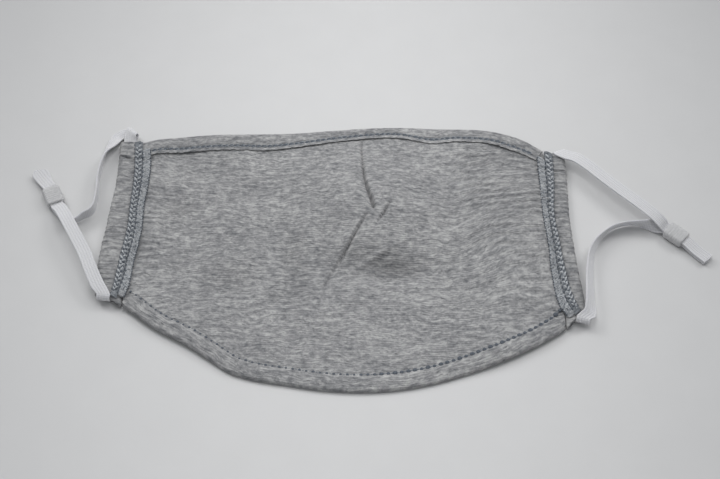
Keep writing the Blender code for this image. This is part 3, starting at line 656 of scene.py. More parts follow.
def elastic_look():
    """Braided white elastic: matt, slightly see-through at its thin edges, with painted shade between its
    ribs.
    """
    look = Look("flat_elastic", {
        "Roughness": 0.82, "Sheen Weight": 0.15, "Specular IOR Level": 0.3, "Subsurface Weight": 0.35,
        "Subsurface Radius": (0.0012, 0.0012, 0.0013), "Subsurface Scale": 0.8})
    place = look.cloth_place()
    threads = look.noise(place, (900, 5200, 500), 2.0, 0.6)
    cover = look.weighted(0.0, (threads, 0.7), (look.waves(place, "X", 420.0, 1.5), 0.3))
    white = look.ramp(cover, [(0.25, (0.58, 0.58, 0.596)), (0.6, (0.71, 0.71, 0.722))])
    # Darker between the ribs: painted shade in the grooves
    across = look.node("SeparateXYZ", {0: place}).outputs["Y"]
    turn = look.maths("MULTIPLY", across, math.pi * ELASTIC_RIBS / ELASTIC_WIDTH)
    ridge = look.maths("ABSOLUTE", look.maths("COSINE", turn))
    painted_groove_shade = look.ramp(ridge, [(0.0, (0.88, 0.88, 0.895)), (0.45, (1.0, 1.0, 1.0))])
    return look.finish(look.mix(1.0, white, painted_groove_shade, "MULTIPLY"), cover, 0.35, 0.0003)


def silicone_look():
    """Clear white silicone rubber."""
    look = Look("clear_silicone", {
        "Roughness": 0.38, "Transmission Weight": 0.25, "IOR": 1.41, "Subsurface Weight": 0.4,
        "Subsurface Radius": (0.002, 0.002, 0.002), "Subsurface Scale": 1.0})
    dust = look.noise(look.object_place(), (700, 700, 700), 3.0, 0.6)
    clear = look.ramp(dust, [(0.3, (0.62, 0.62, 0.625)), (0.7, (0.71, 0.71, 0.715))])
    return look.finish(clear, dust, 0.12, 0.0002)


def floor_look():
    look = Look("pale_floor", {"Roughness": 0.7, "Specular IOR Level": 0.15})
    grain = look.noise(look.object_place(), (60, 60, 60), 3.0, 0.5)
    look.put(look.shader.inputs["Base Color"],
             look.ramp(grain, [(0.3, (0.64, 0.64, 0.64)), (0.7, (0.652, 0.652, 0.652))]))
    return look.material


# Pieces of cloth
def cloth_place(s, y, layer=0.0):
    """Place in the flat cloth, whose courses bend a little where the mask's cloth is drawn."""
    return stacked(s, y - drawn(s, y), layer)


def add_panel(material):
    """The panel: a fine upper face, a coarser underside and a rim between them."""
    dart = smooth_curve(sorted((y, s) for s, y in DART))
    dart_top = DART[0][0] * HALF_WIDTH
    columns = graded(-PANEL_HALF, PANEL_HALF, *FINE_ACROSS)
    columns = columns[:COARSE * ((len(columns) - 1) // COARSE) + 1]
    columns[-1] = PANEL_HALF
    low_middle, high_middle = panel_ends(0.0)
    shares = graded(low_middle, high_middle, *FINE_ALONG)
    shares = (shares - low_middle) / (high_middle - low_middle)
    shares = shares[:COARSE * ((len(shares) - 1) // COARSE) + 1]
    shares[-1] = 1.0
    low, high = panel_ends(columns)
    y = low[:, None] + (high - low)[:, None] * shares[None, :]
    pull = np.maximum(0.0, 1 - ((columns - dart_top) / (0.35 * HALF_WIDTH)) ** 2) ** 2
    drift = dart(y / HALF_SIDE) * HALF_WIDTH - dart_top
    inside = smooth_step(np.minimum(y - low[:, None], high[:, None] - y) / HALF_SIDE * 3)
    s = columns[:, None] + pull[:, None] * drift * inside
    z_top = cloth_top(s, y)
    z_low = np.maximum(panel_level(s, y) - PANEL_WALL / 2 - fold_depth(s, y), 0.0)
    z_low = np.minimum(z_low, z_top - 0.0005)

    shape = Shape()
    upper = shape.add(world(s, y, z_top), cloth_place(s, y)).reshape(s.shape)
    pick = (slice(None, None, COARSE), slice(None, None, COARSE))
    lower = shape.add(world(s, y, z_low)[pick], cloth_place(s, y, 0.02)[pick]).reshape(s[pick].shape)
    for grid, flip in ((upper, False), (lower, True)):
        for i in range(grid.shape[0] - 1):
            for k in range(grid.shape[1] - 1):
                corners = (grid[i, k], grid[i + 1, k], grid[i + 1, k + 1], grid[i, k + 1])
                shape.face(*(corners[::-1] if flip else corners))
    borders = [(upper[:, 0], lower[:, 0]), (upper[-1, :], lower[-1, :]),
               (upper[::-1, -1], lower[::-1, -1]), (upper[0, ::-1], lower[0, ::-1])]
    for fine, coarse in borders:
        for k in range(len(coarse) - 1):
            fine_run = fine[COARSE * k:COARSE * (k + 1) + 1]
            shape.face(coarse[k], coarse[k + 1], *fine_run[::-1])
    return settle(shape.build("jersey_panel", material), "jersey", "mask_panel")


class Hem:
    """A turned edge: where it runs, how wide it is and where its stitches lie."""

    def __init__(self, edge, name, node, inward, widths, sewn, stitch_in, pitch, lip):
        self.edge, self.name, self.node, self.inward = edge, name, node, inward
        self.widths, self.sewn = smooth_curve(widths), sewn
        self.stitch_in, self.pitch, self.lip = stitch_in, pitch, lip

    def across(self, s):
        slope = slope_of(self.edge, s)
        size = np.hypot(1, slope)
        return np.stack((-slope * self.inward / size, self.inward / size), axis=-1)

    def width(self, s):
        return HEM_WIDTH * self.widths(s / HALF_WIDTH)

    def place(self, s, inner):
        across = self.across(s)
        return s + inner * across[..., 0], self.edge(s) + inner * across[..., 1]

    def stitches(self):
        """Places along the edge of the stitches' middles."""
        span = np.linspace(*self.sewn, 4000)
        line_s, line_y = self.place(span, self.width(span) - self.stitch_in)
        along = np.concatenate(([0.0], np.cumsum(np.hypot(np.diff(line_s), np.diff(line_y)))))
        count = int(along[-1] / self.pitch)
        return np.interp((np.arange(count) + 0.5) * along[-1] / count, along, span)

    def top(self, s, inner):
        """Height of the hem's upper face over its seat: crowned, drawn down along the stitches."""
        width = self.width(s)
        share = inner / width
        seam_share = 1 - self.stitch_in / width
        crown = 0.00035 * np.sin(np.pi * np.clip(share / seam_share, 0, 1)) ** 0.8
        lip = self.lip * bell(width - inner, 0.0007)
        pull = 0.00028 * bell(inner - width + self.stitch_in, 0.00065)
        puckers = 0.0001 * np.sin(np.pi * s / self.pitch + 2 * np.sin(150 * s))
        taper = 0.0006 * np.maximum(0.0, 1 - share) ** 2
        return HEM_WALL + crown + lip - pull - taper + puckers * np.sin(np.pi * np.clip(share, 0, 1))

    def section(self, s, wobble):
        """Points round the hem at s: how far in from the edge, and height over the panel's middle."""
        base, low = PANEL_WALL / 2 + HEM_GAP, -PANEL_WALL / 2
        width = self.width(s)
        path = [(width + wobble - 0.0001, base + 0.4 * (HEM_WALL + self.lip))]
        for share in np.concatenate((np.linspace(1.0, 0.82, 7), np.linspace(0.79, 0.62, 7),
                                     np.linspace(0.55, HEM_NOSE, 9))):
            inner = share * width + (wobble if share > 0.97 else 0.0)
            path.append((inner, base + self.top(s, inner)))
        nose_top = base + self.top(s, HEM_NOSE * width)
        widest = low + 0.3 * (nose_top - low)
        for turn in (78, 64, 50, 36, 22, 8, -12, -35, -60, -85):
            reach, half = (HEM_NOSE * width, nose_top - widest) if turn > 0 else (0.0016, widest - low)
            angle = math.radians(turn)
            path.append((reach * (1 - math.cos(angle)), widest + half * math.sin(angle)))
        return path + [(0.0017, low), (0.0017, low + 0.0004), (CLOTH_WALL, low + 0.0006),
                       (CLOTH_WALL, base), (0.5 * width, base), (width - 0.0004, base)]

    def add(self, material):
        rings, places = [], []
        for s in np.linspace(-PANEL_HALF, PANEL_HALF, 450):
            wobble = 0.00012 * np.sin(900 * s + 2 * np.sin(230 * s)) + 0.0001 * np.sin(2100 * s)
            inner, height = np.array(self.section(s, wobble)).T
            place_s, place_y = self.place(s, inner)
            rings.append(world(place_s, place_y, panel_level(place_s, place_y) + height))
            places.append(stacked(s, self.inward * inner + 0.3 * height, 0.05 * self.inward))
        shape = Shape()
        shape.loft(rings, places)
        return settle(shape.build(self.name, material), "jersey", self.node)

    def seat(self, s, inner):
        """World place on the hem's upper face, and the directions along and across it."""
        place_s, place_y = self.place(s, inner)
        z = panel_level(place_s, place_y) + PANEL_WALL / 2 + HEM_GAP + self.top(s, inner)
        across = self.across(s)
        along = np.array((-across[1], across[0], 0.0)) * -self.inward
        return world(place_s, place_y, z), along, np.array((across[0], across[1], 0.0))


def add_chain_stitches(name, hem, thread, shade):
    """Row of looped stitches: a loop of thread round each needle hole, lying on the hem, with a dark bead
    of painted shade in each hole.
    """
    shape = Shape()
    turns = np.linspace(0, 2 * np.pi, 14, endpoint=False)
    for k, s in enumerate(hem.stitches()):
        place, along, across = hem.seat(s, hem.width(s) - hem.stitch_in)
        size = 1 + 0.12 * math.sin(5.3 * k) + 0.08 * math.sin(2.1 * k + 1)
        reach, half = 0.6 * hem.pitch, 0.00078 * size
        loop = [place + along * reach * math.cos(t) + upwards(0.0001 + 0.00016 * math.cos(t))
                + across * half * math.sin(t) * (1 - 0.45 * math.cos(t)) for t in turns]
        shape.tube(loop, 0.00025, joined=True)
        # Dark bead in the needle hole: painted shade of the hole
        hole = [place + along * a * 0.00082 * size + across * 0.00006 * math.sin(3.0 * k)
                + upwards(0.0001) for a in (-1, -0.5, 0, 0.5, 1)]
        radii = size * np.array((0.0002, 0.00056, 0.00066, 0.00056, 0.0002))
        shape.tube(hole, radii, 7, flat=0.4, look=1)
    return settle(shape.build(name, thread, shade), "overlock_thread")


def add_dot_stitches(name, hem, thread, shade):
    """Row of short stitches that dip into their needle holes, bolder to the right of the dart: dark
    dashes, partly thread and partly painted shade of the holes.
    """
    shape = Shape()
    for k, s in enumerate(hem.stitches()):
        place, along, across = hem.seat(s, hem.width(s) - hem.stitch_in)
        bold = 0.74 + 0.46 * smooth_step((s - 0.002) / 0.02)
        size = bold * (1 + 0.15 * math.sin(3.7 * k))
        tilt = across * 0.0001 * math.sin(2.3 * k)
        # Dark dash: the thread and painted shade of its needle hole
        dash = [place + along * a * 0.0008 * size + tilt * a + upwards(0.0001 * (1 - a * a))
                for a in (-1, -0.6, -0.2, 0.2, 0.6, 1)]
        radii = size * np.array((0.0003, 0.0007, 0.0008, 0.0008, 0.0007, 0.0003))
        shape.tube(dash, radii, 7, flat=0.42, look=1)
        rest = [place + along * (0.5 * hem.pitch + a * 0.00055) + across * 0.00016
                + upwards(0.00005 - 0.0001 * abs(a)) for a in (-1, -0.4, 0.4, 1)]
        shape.tube(rest, size * np.array((0.0001, 0.0002, 0.0002, 0.0001)))
    return settle(shape.build(name, thread, shade), "overlock_thread")


# Sides
def flat_oval(half_width, half_height, count=10):
    """Section of a flattened tube, anticlockwise from its underside."""
    corner = min(half_height, 0.4 * half_width)
    flat = half_width - corner
    angles = np.radians(np.linspace(-90, 90, count))
    right = np.stack((flat + corner * np.cos(angles), half_height * np.sin(angles)), axis=-1)
    inside = np.stack((np.linspace(flat, -flat, count)[1:-1], np.full(count - 2, half_height)), axis=-1)
    return np.concatenate((right, inside, -right, -inside))


def add_casing(side, material):
    """Tunnel of turned jersey, open at both ends, with drawn-in ribs and a crease near its top."""
    name = "casing_" + SIDE_WORDS[side]
    crease_share, crease_depth = CASING_CREASES[side]
    outer = flat_oval(CASING_WIDTH / 2, CASING_HEIGHT / 2)
    inner = flat_oval(CASING_WIDTH / 2 - CLOTH_WALL, CASING_HEIGHT / 2 - CLOTH_WALL)
    shares = np.concatenate(([0.0, 0.002, 0.006], np.linspace(0.012, 0.988, 150), [0.994, 0.998, 1.0],
                             np.linspace(crease_share - 0.042, crease_share + 0.012, 45)))
    shares.sort()
    rim = 0.3 * CASING_WIDTH
    rings, places = [], []
    for share in shares:
        s = side * CASING_MIDDLE + outer[:, 0]
        y = up_side(s, share)
        end = min(share, 1 - share) * SIDE_HEIGHT
        rounded = 0.5 * CLOTH_WALL * (1 - math.sqrt(max(0.0, 1 - (1 - min(1, end / 0.0005)) ** 2)))
        upper = np.maximum(0.0, outer[:, 1] / (CASING_HEIGHT / 2))
        slant = 0.0028 * (0.5 - side * outer[:, 0] / CASING_WIDTH)
        away = ((share - crease_share) * SIDE_HEIGHT + slant) / 0.00045
        crease = crease_depth * np.exp(-away**2) - 0.00015 * smooth_step(away * 1.3)
        rib = 0.00013 * np.sin(2 * np.pi * y / 0.0025 + 1.5 * np.sin(240 * y) + 60 * s)
        rib += 0.00008 * np.sin(2 * np.pi * y / 0.0071 + 2.0)
        z = CASING_HEIGHT / 2 + outer[:, 1] + lift(side * CASING_MIDDLE, y)
        z -= upper * (crease + rounded - rib)
        s = s - np.sign(outer[:, 0]) * rounded * (np.abs(outer[:, 0]) > rim)
        s += np.where(outer[:, 0] * side > rim, side * rib * 0.8, 0.0)
        rings.append(world(s, y, np.maximum(z, 0.0)))
        places.append(cloth_place(s, y, 0.09))
    for share in shares[::-1]:
        s = side * CASING_MIDDLE + inner[:, 0]
        y = up_side(s, share)
        z = CASING_HEIGHT / 2 + inner[:, 1] + lift(side * CASING_MIDDLE, y)
        rings.append(world(s, y, z))
        places.append(cloth_place(s, y, 0.12))
    shape = Shape()
    shape.loft(rings, places, joined=True)
    return settle(shape.build("jersey_" + name, material), "jersey", name)


def seam_edges(side, share):
    """Outer and inner edge of the overlocked band, as distances from the mask's middle."""
    outer = HALF_WIDTH - CASING_WIDTH * smooth_curve(SEAMS[side])(share)
    return outer, outer - SEAM_WIDTH * smooth_curve(SEAMS[side], 2)(share)


def seam_seat(distance, on_hem=0.0):
    """Height of the cloth under the overlocked band: on the casing or a hem, or lower on the panel."""
    step = smooth_step((distance - PANEL_HALF + 1.5 * SEWN_GAP) / (4 * SEWN_GAP))
    low = (CASING_HEIGHT + PANEL_WALL) / 2
    return low + (CASING_HEIGHT - low) * np.maximum(step, on_hem)


ridge_profile = smooth_curve([
    (0.0, 0.05), (0.05, 0.62), (0.14, 1.0), (0.32, 1.0), (0.42, 0.7), (0.475, 0.3), (0.53, 0.45),
    (0.62, 0.72), (0.8, 0.76), (0.94, 0.55), (1.0, 0.05)])


def scatter(k, row):
    """Even spread of values between -1 and 1 without order."""
    return 2 * ((math.sin(12.9898 * k + 78.233 * row) * 43758.5453) % 1.0) - 1


class Band:
    """The overlocked band of one side; across runs from 0 at its outer edge to 1 at its inner."""

    def __init__(self, side):
        self.side = side
        self.ends = BAND_ENDS[side]
        self.count = int(SIDE_HEIGHT / STITCH_PITCH)

    def place(self, share, across, rise=0.0):
        outer, inner = seam_edges(self.side, share)
        distance = outer + (inner - outer) * across
        s = self.side * distance
        low, high = panel_ends(s)
        y = low + (high - low) * share
        on_hem = smooth_step(max(BAND_ON_HEMS[0] - share, share - BAND_ON_HEMS[1]) / 0.02)
        seat = seam_seat(distance, on_hem)
        ridge = ridge_profile(across) * SEAM_RISE
        return world(s, y, seat + SEWN_GAP + ridge + rise + lift(s, y))

    def column(self, shape, ends, edges, look, rounded):
        """One of the band's two columns, between two edges given as shares across it."""
        rings, places = [], []
        spread = np.concatenate((np.linspace(0, 0.16, 6), np.linspace(0.22, 0.84, 14),
                                 np.linspace(0.88, 1, 5)))
        for share in np.linspace(*ends, 150):
            close = min(share - ends[0], ends[1] - share) * SIDE_HEIGHT / 0.0016
            width = math.sqrt(max(0.06, 1 - (1 - min(1.0, close)) ** 2)) if rounded else 1.0
            across = sum(edges) / 2 + (edges[1] - edges[0]) * (spread - 0.5) * width
            upper = self.place(share, across)
            turns = 2 * np.pi * share * SIDE_HEIGHT
            lumps = np.sin(turns / STITCH_PITCH + 9 * across) + 0.6 * np.sin(turns / 0.0011 + 23 * across)
            upper[:, 2] += 0.00009 * lumps - SEAM_RISE * 0.5 * (1 - width)
            lower = self.place(share, across[::-3])
            lower[:, 2] -= SEAM_RISE * ridge_profile(across[::-3]) + 0.5 * SEWN_GAP
            rings.append(np.concatenate((upper, lower)))
            flat = np.concatenate((across, across[::-3])) * SEAM_WIDTH * self.side
            places.append(stacked(flat, share * SIDE_HEIGHT, 0.15))
        shape.loft(rings, places, look=look)

    def add_cloth(self, covered, bare):
        """Two columns of overlocked cloth: the outer one covered in thread, the inner one barer."""
        shape = Shape()
        self.column(shape, (0, 1), (0.0, 0.5), 0, False)
        self.column(shape, self.ends, (0.46, 1.0), 1, True)
        word = SIDE_WORDS[self.side]
        piece = shape.build("overlocked_band_" + word, covered, bare)
        return settle(piece, "overlock_thread", "side_seam_" + word)

    def thread(self, shape, middle, along, across, rise, radius, look):
        """Short stitch about a place counted in stitches, as along is; across gives its two ends."""
        start, end = (middle + along[0]) / self.count, (middle + along[1]) / self.count
        if min(start, end) < THREAD_INSET or max(start, end) > 1 - THREAD_INSET:
            return
        path = [self.place(start + (end - start) * t, across[0] + (across[1] - across[0]) * t,
                           rise[0] + (rise[1] - rise[0]) * math.sin(math.pi * t))
                for t in (0, 0.25, 0.5, 0.75, 1)]
        shape.tube(path, np.array((0.45, 0.9, 1.0, 0.9, 0.45)) * radius, 7, flat=0.8, look=look)

    def laced(self, shape, knots, look):
        """Long thread through knots: place in stitches, place across, rise and radius of each."""
        rows = [np.array((*self.place(middle / self.count, across, rise), radius))
                for middle, across, rise, radius in knots]
        route = np.array(smooth_route(rows, 0.00028))
        shape.tube(route[:, :3], route[:, 3], 7, flat=0.8, look=look)

    def add_threads(self, *threads):
        """Uneven loops on the outer column, crossed threads on the inner one, rows beside them."""
        # dark is dark thread; along the needle rows beside the columns it is also painted shade of the
        # holes and grooves
        pale, deep, dark = 0, 1, 2
        shape = Shape()
        for column, (start, end) in enumerate(((0.08, 0.22), (0.41, 0.27))):
            knots = []
            for k in range(1, self.count - 1):
                middle = k + 0.5 + 0.5 * column + 0.12 * scatter(k, column)
                size = 1 + 0.24 * scatter(k, 2 + column)
                slant = 0.03 * scatter(k, 4 + column)
                knots += [(middle + 0.3, start + slant, 0.00004, 0.00022 * size),
                          (middle, (start + end) / 2 + slant, 0.00026, 0.00037 * size),
                          (middle - 0.27, end - slant, 0.00004, 0.00024 * size),
                          (middle + 0.42, (start + end) / 2, -0.00012, 0.00013)]
                self.thread(shape, middle + 0.5, (0.15, -0.15), (end, start),
                            (0.00002, 0.00012), 0.0003, (deep, dark)[(k + column) % 2])
                self.thread(shape, middle - 0.42, (0.12, -0.12), (start, end),
                            (0.00002, 0.00012), 0.00032, dark)
            self.laced(shape, knots, pale)
        low, high = self.ends[0] + 0.02, self.ends[1] - 0.02
        inner = [k + 0.5 for k in range(self.count) if low < (k + 0.5) / self.count < high]
        for row, look in enumerate((pale, deep, pale)):
            knots = []
            for k, middle in enumerate(inner):
                for half, across in ((0, 0.555), (0.5, 0.945)):
                    drift = 0.14 * scatter(k, 8 + row + 4 * half)
                    knots.append((middle + half + row / 3 - 0.4 + drift,
                                  across + 0.03 * scatter(k, 16 + row), 0.0001, 0.00017))
            self.laced(shape, knots, look)
        # Dark needle rows at the inner edge and in the groove between the columns: thread and painted
        # shade
        for k, middle in enumerate(inner):
            for part in (-0.25, 0.25):
                self.thread(shape, middle + part, (-0.16, 0.16),
                            (0.98 + 0.02 * scatter(k, 24), 0.98 + 0.02 * scatter(k, 25)),
                            (0.00004, 0.00014), 0.00038, dark)
            self.thread(shape, middle, (-0.32, 0.32), (0.49, 0.49 + 0.01 * scatter(k, 26)),
                        (0.00006, 0.00012), 0.00036, dark)
        for k in range(self.count):
            self.thread(shape, k + 0.5, (-0.28, 0.28), (0.012, 0.012), (0.0, 0.00008), 0.0003, dark)
        for k in range(6 * self.count):
            middle = (low + (high - low) * (0.5 + 0.5 * scatter(k, 30))) * self.count
            across = 0.5 + 0.46 * scatter(k, 31)
            tilt = 0.05 * scatter(k, 32)
            reach = 0.1 + 0.08 * scatter(k, 33)
            rise = (0.0002, 0.00034) if across < 0.45 else (0.00006, 0.00018)
            self.thread(shape, middle, (-reach, reach), (across - tilt, across + tilt), rise, 0.00016,
                        (pale, dark)[k % 2])
        piece = shape.build("overlock_stitches_" + SIDE_WORDS[self.side], *threads)
        return settle(piece, "overlock_thread")


# Elastic
def casing_row(side, share, drift=0.0):
    s = side * (CASING_MIDDLE + drift)
    y = up_side(s, share)
    square = math.degrees(math.atan(SIDE_LEAN))
    return world(s, y, CASING_HEIGHT / 2 + lift(side * CASING_MIDDLE, y)), square, 0.0


def free_place(side, out, along, height):
    return leant(side * (HALF_WIDTH + out * LOOP_REACH), along * HALF_SIDE, height)


def crease_rows(side, end, crease):
    """Rows of the half turn that folds the band back on itself at a casing's mouth."""
    out, along, direction, before, after = crease
    low, high = before * ELASTIC_WIDTH, after * ELASTIC_WIDTH
    middle = free_place(side, out, along, (low + high) / 2)
    angle = math.radians(direction)
    away = np.array((-math.sin(angle), math.cos(angle), 0.0))
    away *= end * math.copysign(1, away[1])
    radius = abs(high - low) / 2
    rows = []
    for turn in np.radians((0, 45, 90, 135, 180)):
        place = middle + away * radius * math.sin(turn) + upwards((low - high) / 2 * math.cos(turn))
        rows.append((place, direction, 0.0))
    return rows


def adjuster_frame(adjuster):
    """Middle of the adjuster's underside and its bore's direction."""
    out, along = adjuster["place"]
    angle = math.radians(adjuster["bore"])
    return free_place(adjuster["side"], out, along, 0.0), np.array((math.cos(angle), math.sin(angle), 0))


def strand_rows(side, strand, adjuster, layer):
    """Rows from the middle of the casing to the tip of the tail; layer is 1 over, -1 under."""
    end = strand["end"]
    shift = CASING_SHIFT * (CASING_WIDTH / 2 - CLOTH_WALL - ELASTIC_WIDTH / 2)
    rows = [casing_row(side, 0.5 + end * stop, drift)
            for stop, drift in zip(CASING_STOPS, (0.0, shift / 2, shift, shift))]
    rows += crease_rows(side, end, strand["crease"])
    for out, along, height, lean in strand["route"]:
        rows.append((free_place(side, out, along, height * ELASTIC_WIDTH), None, lean))
    middle, bore = adjuster_frame(adjuster)
    height = ADJUSTER_HEIGHT / 2 + layer * LAYER_STEP / 2
    for share in (-0.6, -0.45, 0.0, 0.45, 0.6):
        rows.append((middle + bore * share * ADJUSTER_LENGTH + upwards(height), None, 0.0))
    angle = math.radians(adjuster["tails"] + layer * adjuster["fan"])
    tail = np.array((math.cos(angle), math.sin(angle), 0.0))
    mouth = middle + bore * 0.5 * ADJUSTER_LENGTH
    rest = ELASTIC_THICKNESS / 2 + (layer + 1) / 2 * LAYER_STEP + SEWN_GAP
    for share in (0.5, 1.0):
        drop = height + (rest - height) * smooth_step(2 * share)
        rows.append((mouth + tail * share * TAIL_LENGTH + upwards(drop), None, 0.0))
    return rows


def settle_rulings(rows):
    """Direction across the band at each row, unbroken along it, as (place, across, lean)."""
    places = [row[0] for row in rows]
    settled = []
    previous = None
    for k, (place, direction, lean) in enumerate(rows):
        if direction is None:
            run = places[min(k + 1, len(rows) - 1)] - places[max(k - 1, 0)]
            direction = math.degrees(math.atan2(run[1], run[0])) + 90
        if previous is not None:
            direction += 180 * round((previous - direction) / 180)
        settled.append(np.array((*place, direction, lean)))
        previous = direction
    given = [row[1] is not None for row in rows]
    for k in range(1, len(rows) - 1):
        if not given[k] and (given[k - 1] or given[k + 1]):
            beside = settled[k - 1] if given[k - 1] else settled[k + 1]
            settled[k][3] = (settled[k][3] + beside[3]) / 2
    return settled


def smooth_route(rows, step):
    """Points of a centripetal curve through the rows, about a step apart."""
    def between(a, b, low, high):
        return a + (b - a) * (t - knots[low]) / (knots[high] - knots[low])

    rows = [2 * rows[0] - rows[1]] + rows + [2 * rows[-1] - rows[-2]]
    route = []
    for p0, p1, p2, p3 in zip(rows, rows[1:], rows[2:], rows[3:]):
        knots = [0.0]
        for a, b in ((p0, p1), (p1, p2), (p2, p3)):
            knots.append(knots[-1] + max(np.linalg.norm(b[:3] - a[:3]), 1e-6) ** 0.5)
        pieces = max(1, round(np.linalg.norm(p2[:3] - p1[:3]) / step))
        for k in range(pieces):
            t = knots[1] + (knots[2] - knots[1]) * k / pieces
            first, second, third = between(p0, p1, 0, 1), between(p1, p2, 1, 2), between(p2, p3, 2, 3)
            route.append(between(between(first, second, 0, 2), between(second, third, 1, 3), 1, 2))
    route.append(rows[-2])
    return route


def denser_ends(route, rows, parts):
    """The route with its first and last rows divided into more."""
    far = len(route) - 1
    dense = []
    for k, (row, following) in enumerate(zip(route, route[1:])):
        pieces = parts if k < rows or k >= far - rows else 1
        dense += [row + (following - row) * piece / pieces for piece in range(pieces)]
    return dense + [route[-1]]


def ribbed_section():
    """Section of the elastic: shares of its half width and of its half thickness, round it."""
    across = np.linspace(-1, 1, 57)
    ribs = np.abs(np.cos(np.pi * across * ELASTIC_RIBS / 2))
    edge = np.sqrt(np.clip(1 - ((np.abs(across) - 0.9) / 0.1).clip(0, 1) ** 2, 0, 1))
    depth = (0.74 + 0.26 * ribs) * np.maximum(edge, 0.12)
    return np.concatenate((across, across[::-1])), np.concatenate((-depth, depth[::-1]))


def add_ear_loop(side, upper, lower, adjuster, material):
    """One elastic band with lengthwise ribs: tail, adjuster, strand, casing, strand, tail."""
    first = strand_rows(side, upper, adjuster, 1)
    second = strand_rows(side, lower, adjuster, -1)
    rows = first[::-1] + [casing_row(side, 0.5)] + second
    route = denser_ends(smooth_route(settle_rulings(rows), 0.0008), 5, 4)
    across, depth = ribbed_section()
    centres = np.array([row[:3] for row in route])
    lengths = np.concatenate(([0.0], np.cumsum(np.linalg.norm(np.diff(centres, axis=0), axis=1))))
    rings, places = [], []
    for k, row in enumerate(route):
        run = centres[min(k + 1, len(route) - 1)] - centres[max(k - 1, 0)]
        run /= np.linalg.norm(run)
        near_end = min(1.0, min(lengths[k], lengths[-1] - lengths[k]) / adjuster["rounded"])
        width = ELASTIC_WIDTH * math.sqrt(max(0.05, 1 - (1 - near_end) ** 2))
        turn, lean = math.radians(row[3]), math.radians(row[4])
        ruling = np.array((math.cos(turn) * math.cos(lean), math.sin(turn) * math.cos(lean),
                           math.sin(lean)))
        face = np.cross(run, ruling)
        slant = np.linalg.norm(face)
        face /= slant
        half = ruling * width / 2 / max(slant, LEAST_SLANT)
        thick = face * ELASTIC_THICKNESS / 2
        rings.append(row[:3] + np.outer(across, half) + np.outer(depth, thick))
        places.append(stacked(lengths[k], across * width / 2, 0.0))
    shape = Shape()
    shape.loft(rings, places)
    word = SIDE_WORDS[side]
    return settle(shape.build("ribbed_elastic_" + word, material), "elastic", "ear_loop_" + word)


# Adjusters
def square_oval(half_width, half_height, corner):
    ring = []
    for quarter, (x, z) in enumerate(((1, 1), (-1, 1), (-1, -1), (1, -1))):
        for turn in (0, 22.5, 45, 67.5, 90):
            angle = math.radians(90 * quarter + turn)
            ring.append((x * (half_width - corner) + corner * math.cos(angle),
                         z * (half_height - corner) + corner * math.sin(angle)))
    return np.array(ring)


def add_adjuster(adjuster, material):
    """Moulded sleeve with rounded rims and fine ribs round it."""
    middle, bore = adjuster_frame(adjuster)
    middle = middle + upwards(ADJUSTER_HEIGHT / 2)
    sideways = np.array((-bore[1], bore[0], 0.0))
    rims = [(0.5, 1.25, 0.75), (0.494, 1.00, 0.5), (0.48, 0.68, 0.28), (0.455, 0.35, 0.14),
            (0.42, 0.14, 0.07)]
    ribs = [(share, 0.07 + 0.07 * math.cos(2 * math.pi * share / 0.12))
            for share in np.linspace(-0.38, 0.38, 56)]
    outside = [(-share, side, top) for share, side, top in rims]
    outside += [(share, inset, inset) for share, inset in ribs] + rims[::-1]
    inside = [(0.5, 1.3, 1.3), (0.485, 1.0, 1.0), (0.2, 1.0, 1.0)]
    inside += [(-share, side, top) for share, side, top in inside[::-1]]
    rings = []
    for stations, corner in ((outside, 0.62), (inside, 0.45)):
        for share, side_inset, top_inset in stations:
            section = square_oval(ADJUSTER_WIDTH / 2 - side_inset * ADJUSTER_WALL,
                                  ADJUSTER_HEIGHT / 2 - top_inset * ADJUSTER_WALL,
                                  corner * ADJUSTER_HEIGHT / 2)
            rings.append(middle + bore * share * ADJUSTER_LENGTH
                         + section @ np.array((sideways, (0, 0, 1))))
    shape = Shape()
    shape.loft(rings, joined=True)
    word = SIDE_WORDS[adjuster["side"]]
    return settle(shape.build("silicone_sleeve_" + word, material), "silicone", "adjuster_" + word)


# Stage, light and camera
def add_floor():
    mesh = bpy.data.meshes.new("pale_floor")
    corners = np.array(((-1, -1, 0), (1, -1, 0), (1, 1, 0), (-1, 1, 0))) * FLOOR_HALF
    mesh.from_pydata([tuple(corner) for corner in corners], [], [(0, 1, 2, 3)])
    mesh.materials.append(floor_look())
    floor = add_object("pale_floor", mesh)
    floor.location.z = -FLOOR_DROP


def add_lights():
    meet = Vector((MIDDLE[0] + LIGHTS_MEET[0], MIDDLE[1] + LIGHTS_MEET[1], 0.0))
    for name, place, size, power in LIGHTS:
        light = bpy.data.lights.new(name, "AREA")
        light.shape = "RECTANGLE"
        light.size, light.size_y = size
        light.energy = power
        light.spread = math.radians(LIGHT_SPREAD)
        lamp = add_object(name, light)
        lamp.location = place
        lamp.rotation_euler = (meet - Vector(place)).to_track_quat("-Z", "Y").to_euler()
    room = bpy.data.worlds.new("soft_room")
    room.use_nodes = True
    background = room.node_tree.nodes["Background"]
    background.inputs["Color"].default_value = ROOM_COLOUR
    background.inputs["Strength"].default_value = ROOM_STRENGTH
    bpy.context.scene.world = room
    bpy.context.scene.view_settings.view_transform = "Standard"


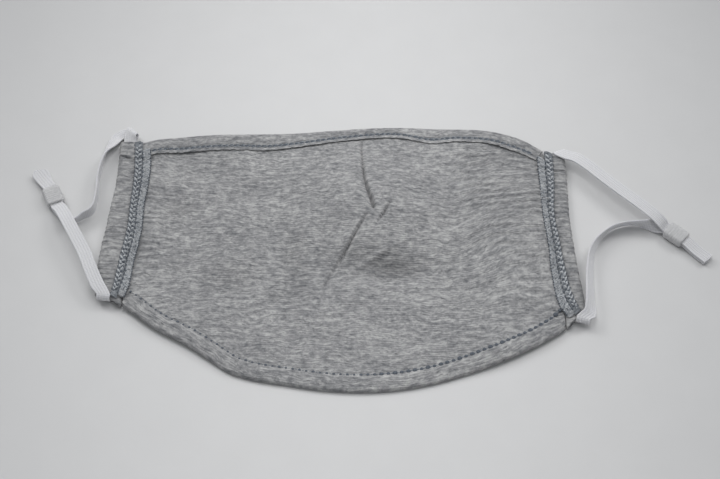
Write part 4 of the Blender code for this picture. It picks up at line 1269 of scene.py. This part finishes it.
def add_camera():
    data = bpy.data.cameras.new("camera")
    data.lens = CAMERA_LENS
    data.sensor_width = 36
    data.clip_start = 0.01
    camera = add_object("camera", data)
    target = Vector((MIDDLE[0] + VIEW_MIDDLE[0], MIDDLE[1] + VIEW_MIDDLE[1], 0.0))
    azimuth, elevation = math.radians(CAMERA_AZIMUTH), math.radians(CAMERA_ELEVATION)
    back = Vector((math.sin(azimuth) * math.cos(elevation), -math.cos(azimuth) * math.cos(elevation),
                   math.sin(elevation)))
    camera.location = target + back * CAMERA_DISTANCE
    camera.rotation_euler = back.to_track_quat("Z", "Y").to_euler()
    bpy.context.scene.camera = camera


add_camera()
add_lights()
add_floor()

jersey = heather_look("heather_jersey", JERSEY)
panel_jersey = heather_look("panel_jersey", JERSEY, PAINTED_SHADE_AND_DARK_PATCHES)
covered_jersey = heather_look("overlocked_jersey", COVERED_JERSEY)
bare_jersey = heather_look("inner_overlocked_jersey", BARE_JERSEY)
pale_thread = thread_look("pale_thread", (0.32, 0.338, 0.355), (0.56, 0.578, 0.595))
deep_thread = thread_look("blue_grey_thread", (0.15, 0.168, 0.192), (0.3, 0.324, 0.352))
# Dark thread, also used as painted shade in the needle holes and along the bands' needle rows
dark_thread_and_hole_shade = thread_look("dark_thread_and_hole_shade", (0.052, 0.062, 0.078), (0.11, 0.126, 0.15))
elastic = elastic_look()
silicone = silicone_look()

panel = add_panel(panel_jersey)
nose_hem = Hem(top_edge, **NOSE_HEM)
chin_hem = Hem(bottom_edge, **CHIN_HEM)
sewn_on = [
    nose_hem.add(jersey),
    chin_hem.add(jersey),
    add_chain_stitches("nose_stitches", nose_hem, deep_thread, dark_thread_and_hole_shade),
    add_dot_stitches("chin_stitches", chin_hem, deep_thread, dark_thread_and_hole_shade),
]
for side in (-1, 1):
    casing = add_casing(side, jersey)
    band = Band(side)
    sewn_on.append(band.add_cloth(covered_jersey, bare_jersey))
    sewn_on.append(band.add_threads(pale_thread, deep_thread, dark_thread_and_hole_shade))
add_ear_loop(-1, LEFT_UPPER, LEFT_LOWER, LEFT_ADJUSTER, elastic)
add_ear_loop(1, RIGHT_UPPER, RIGHT_LOWER, RIGHT_ADJUSTER, elastic)
for adjuster in (LEFT_ADJUSTER, RIGHT_ADJUSTER):
    add_adjuster(adjuster, silicone)
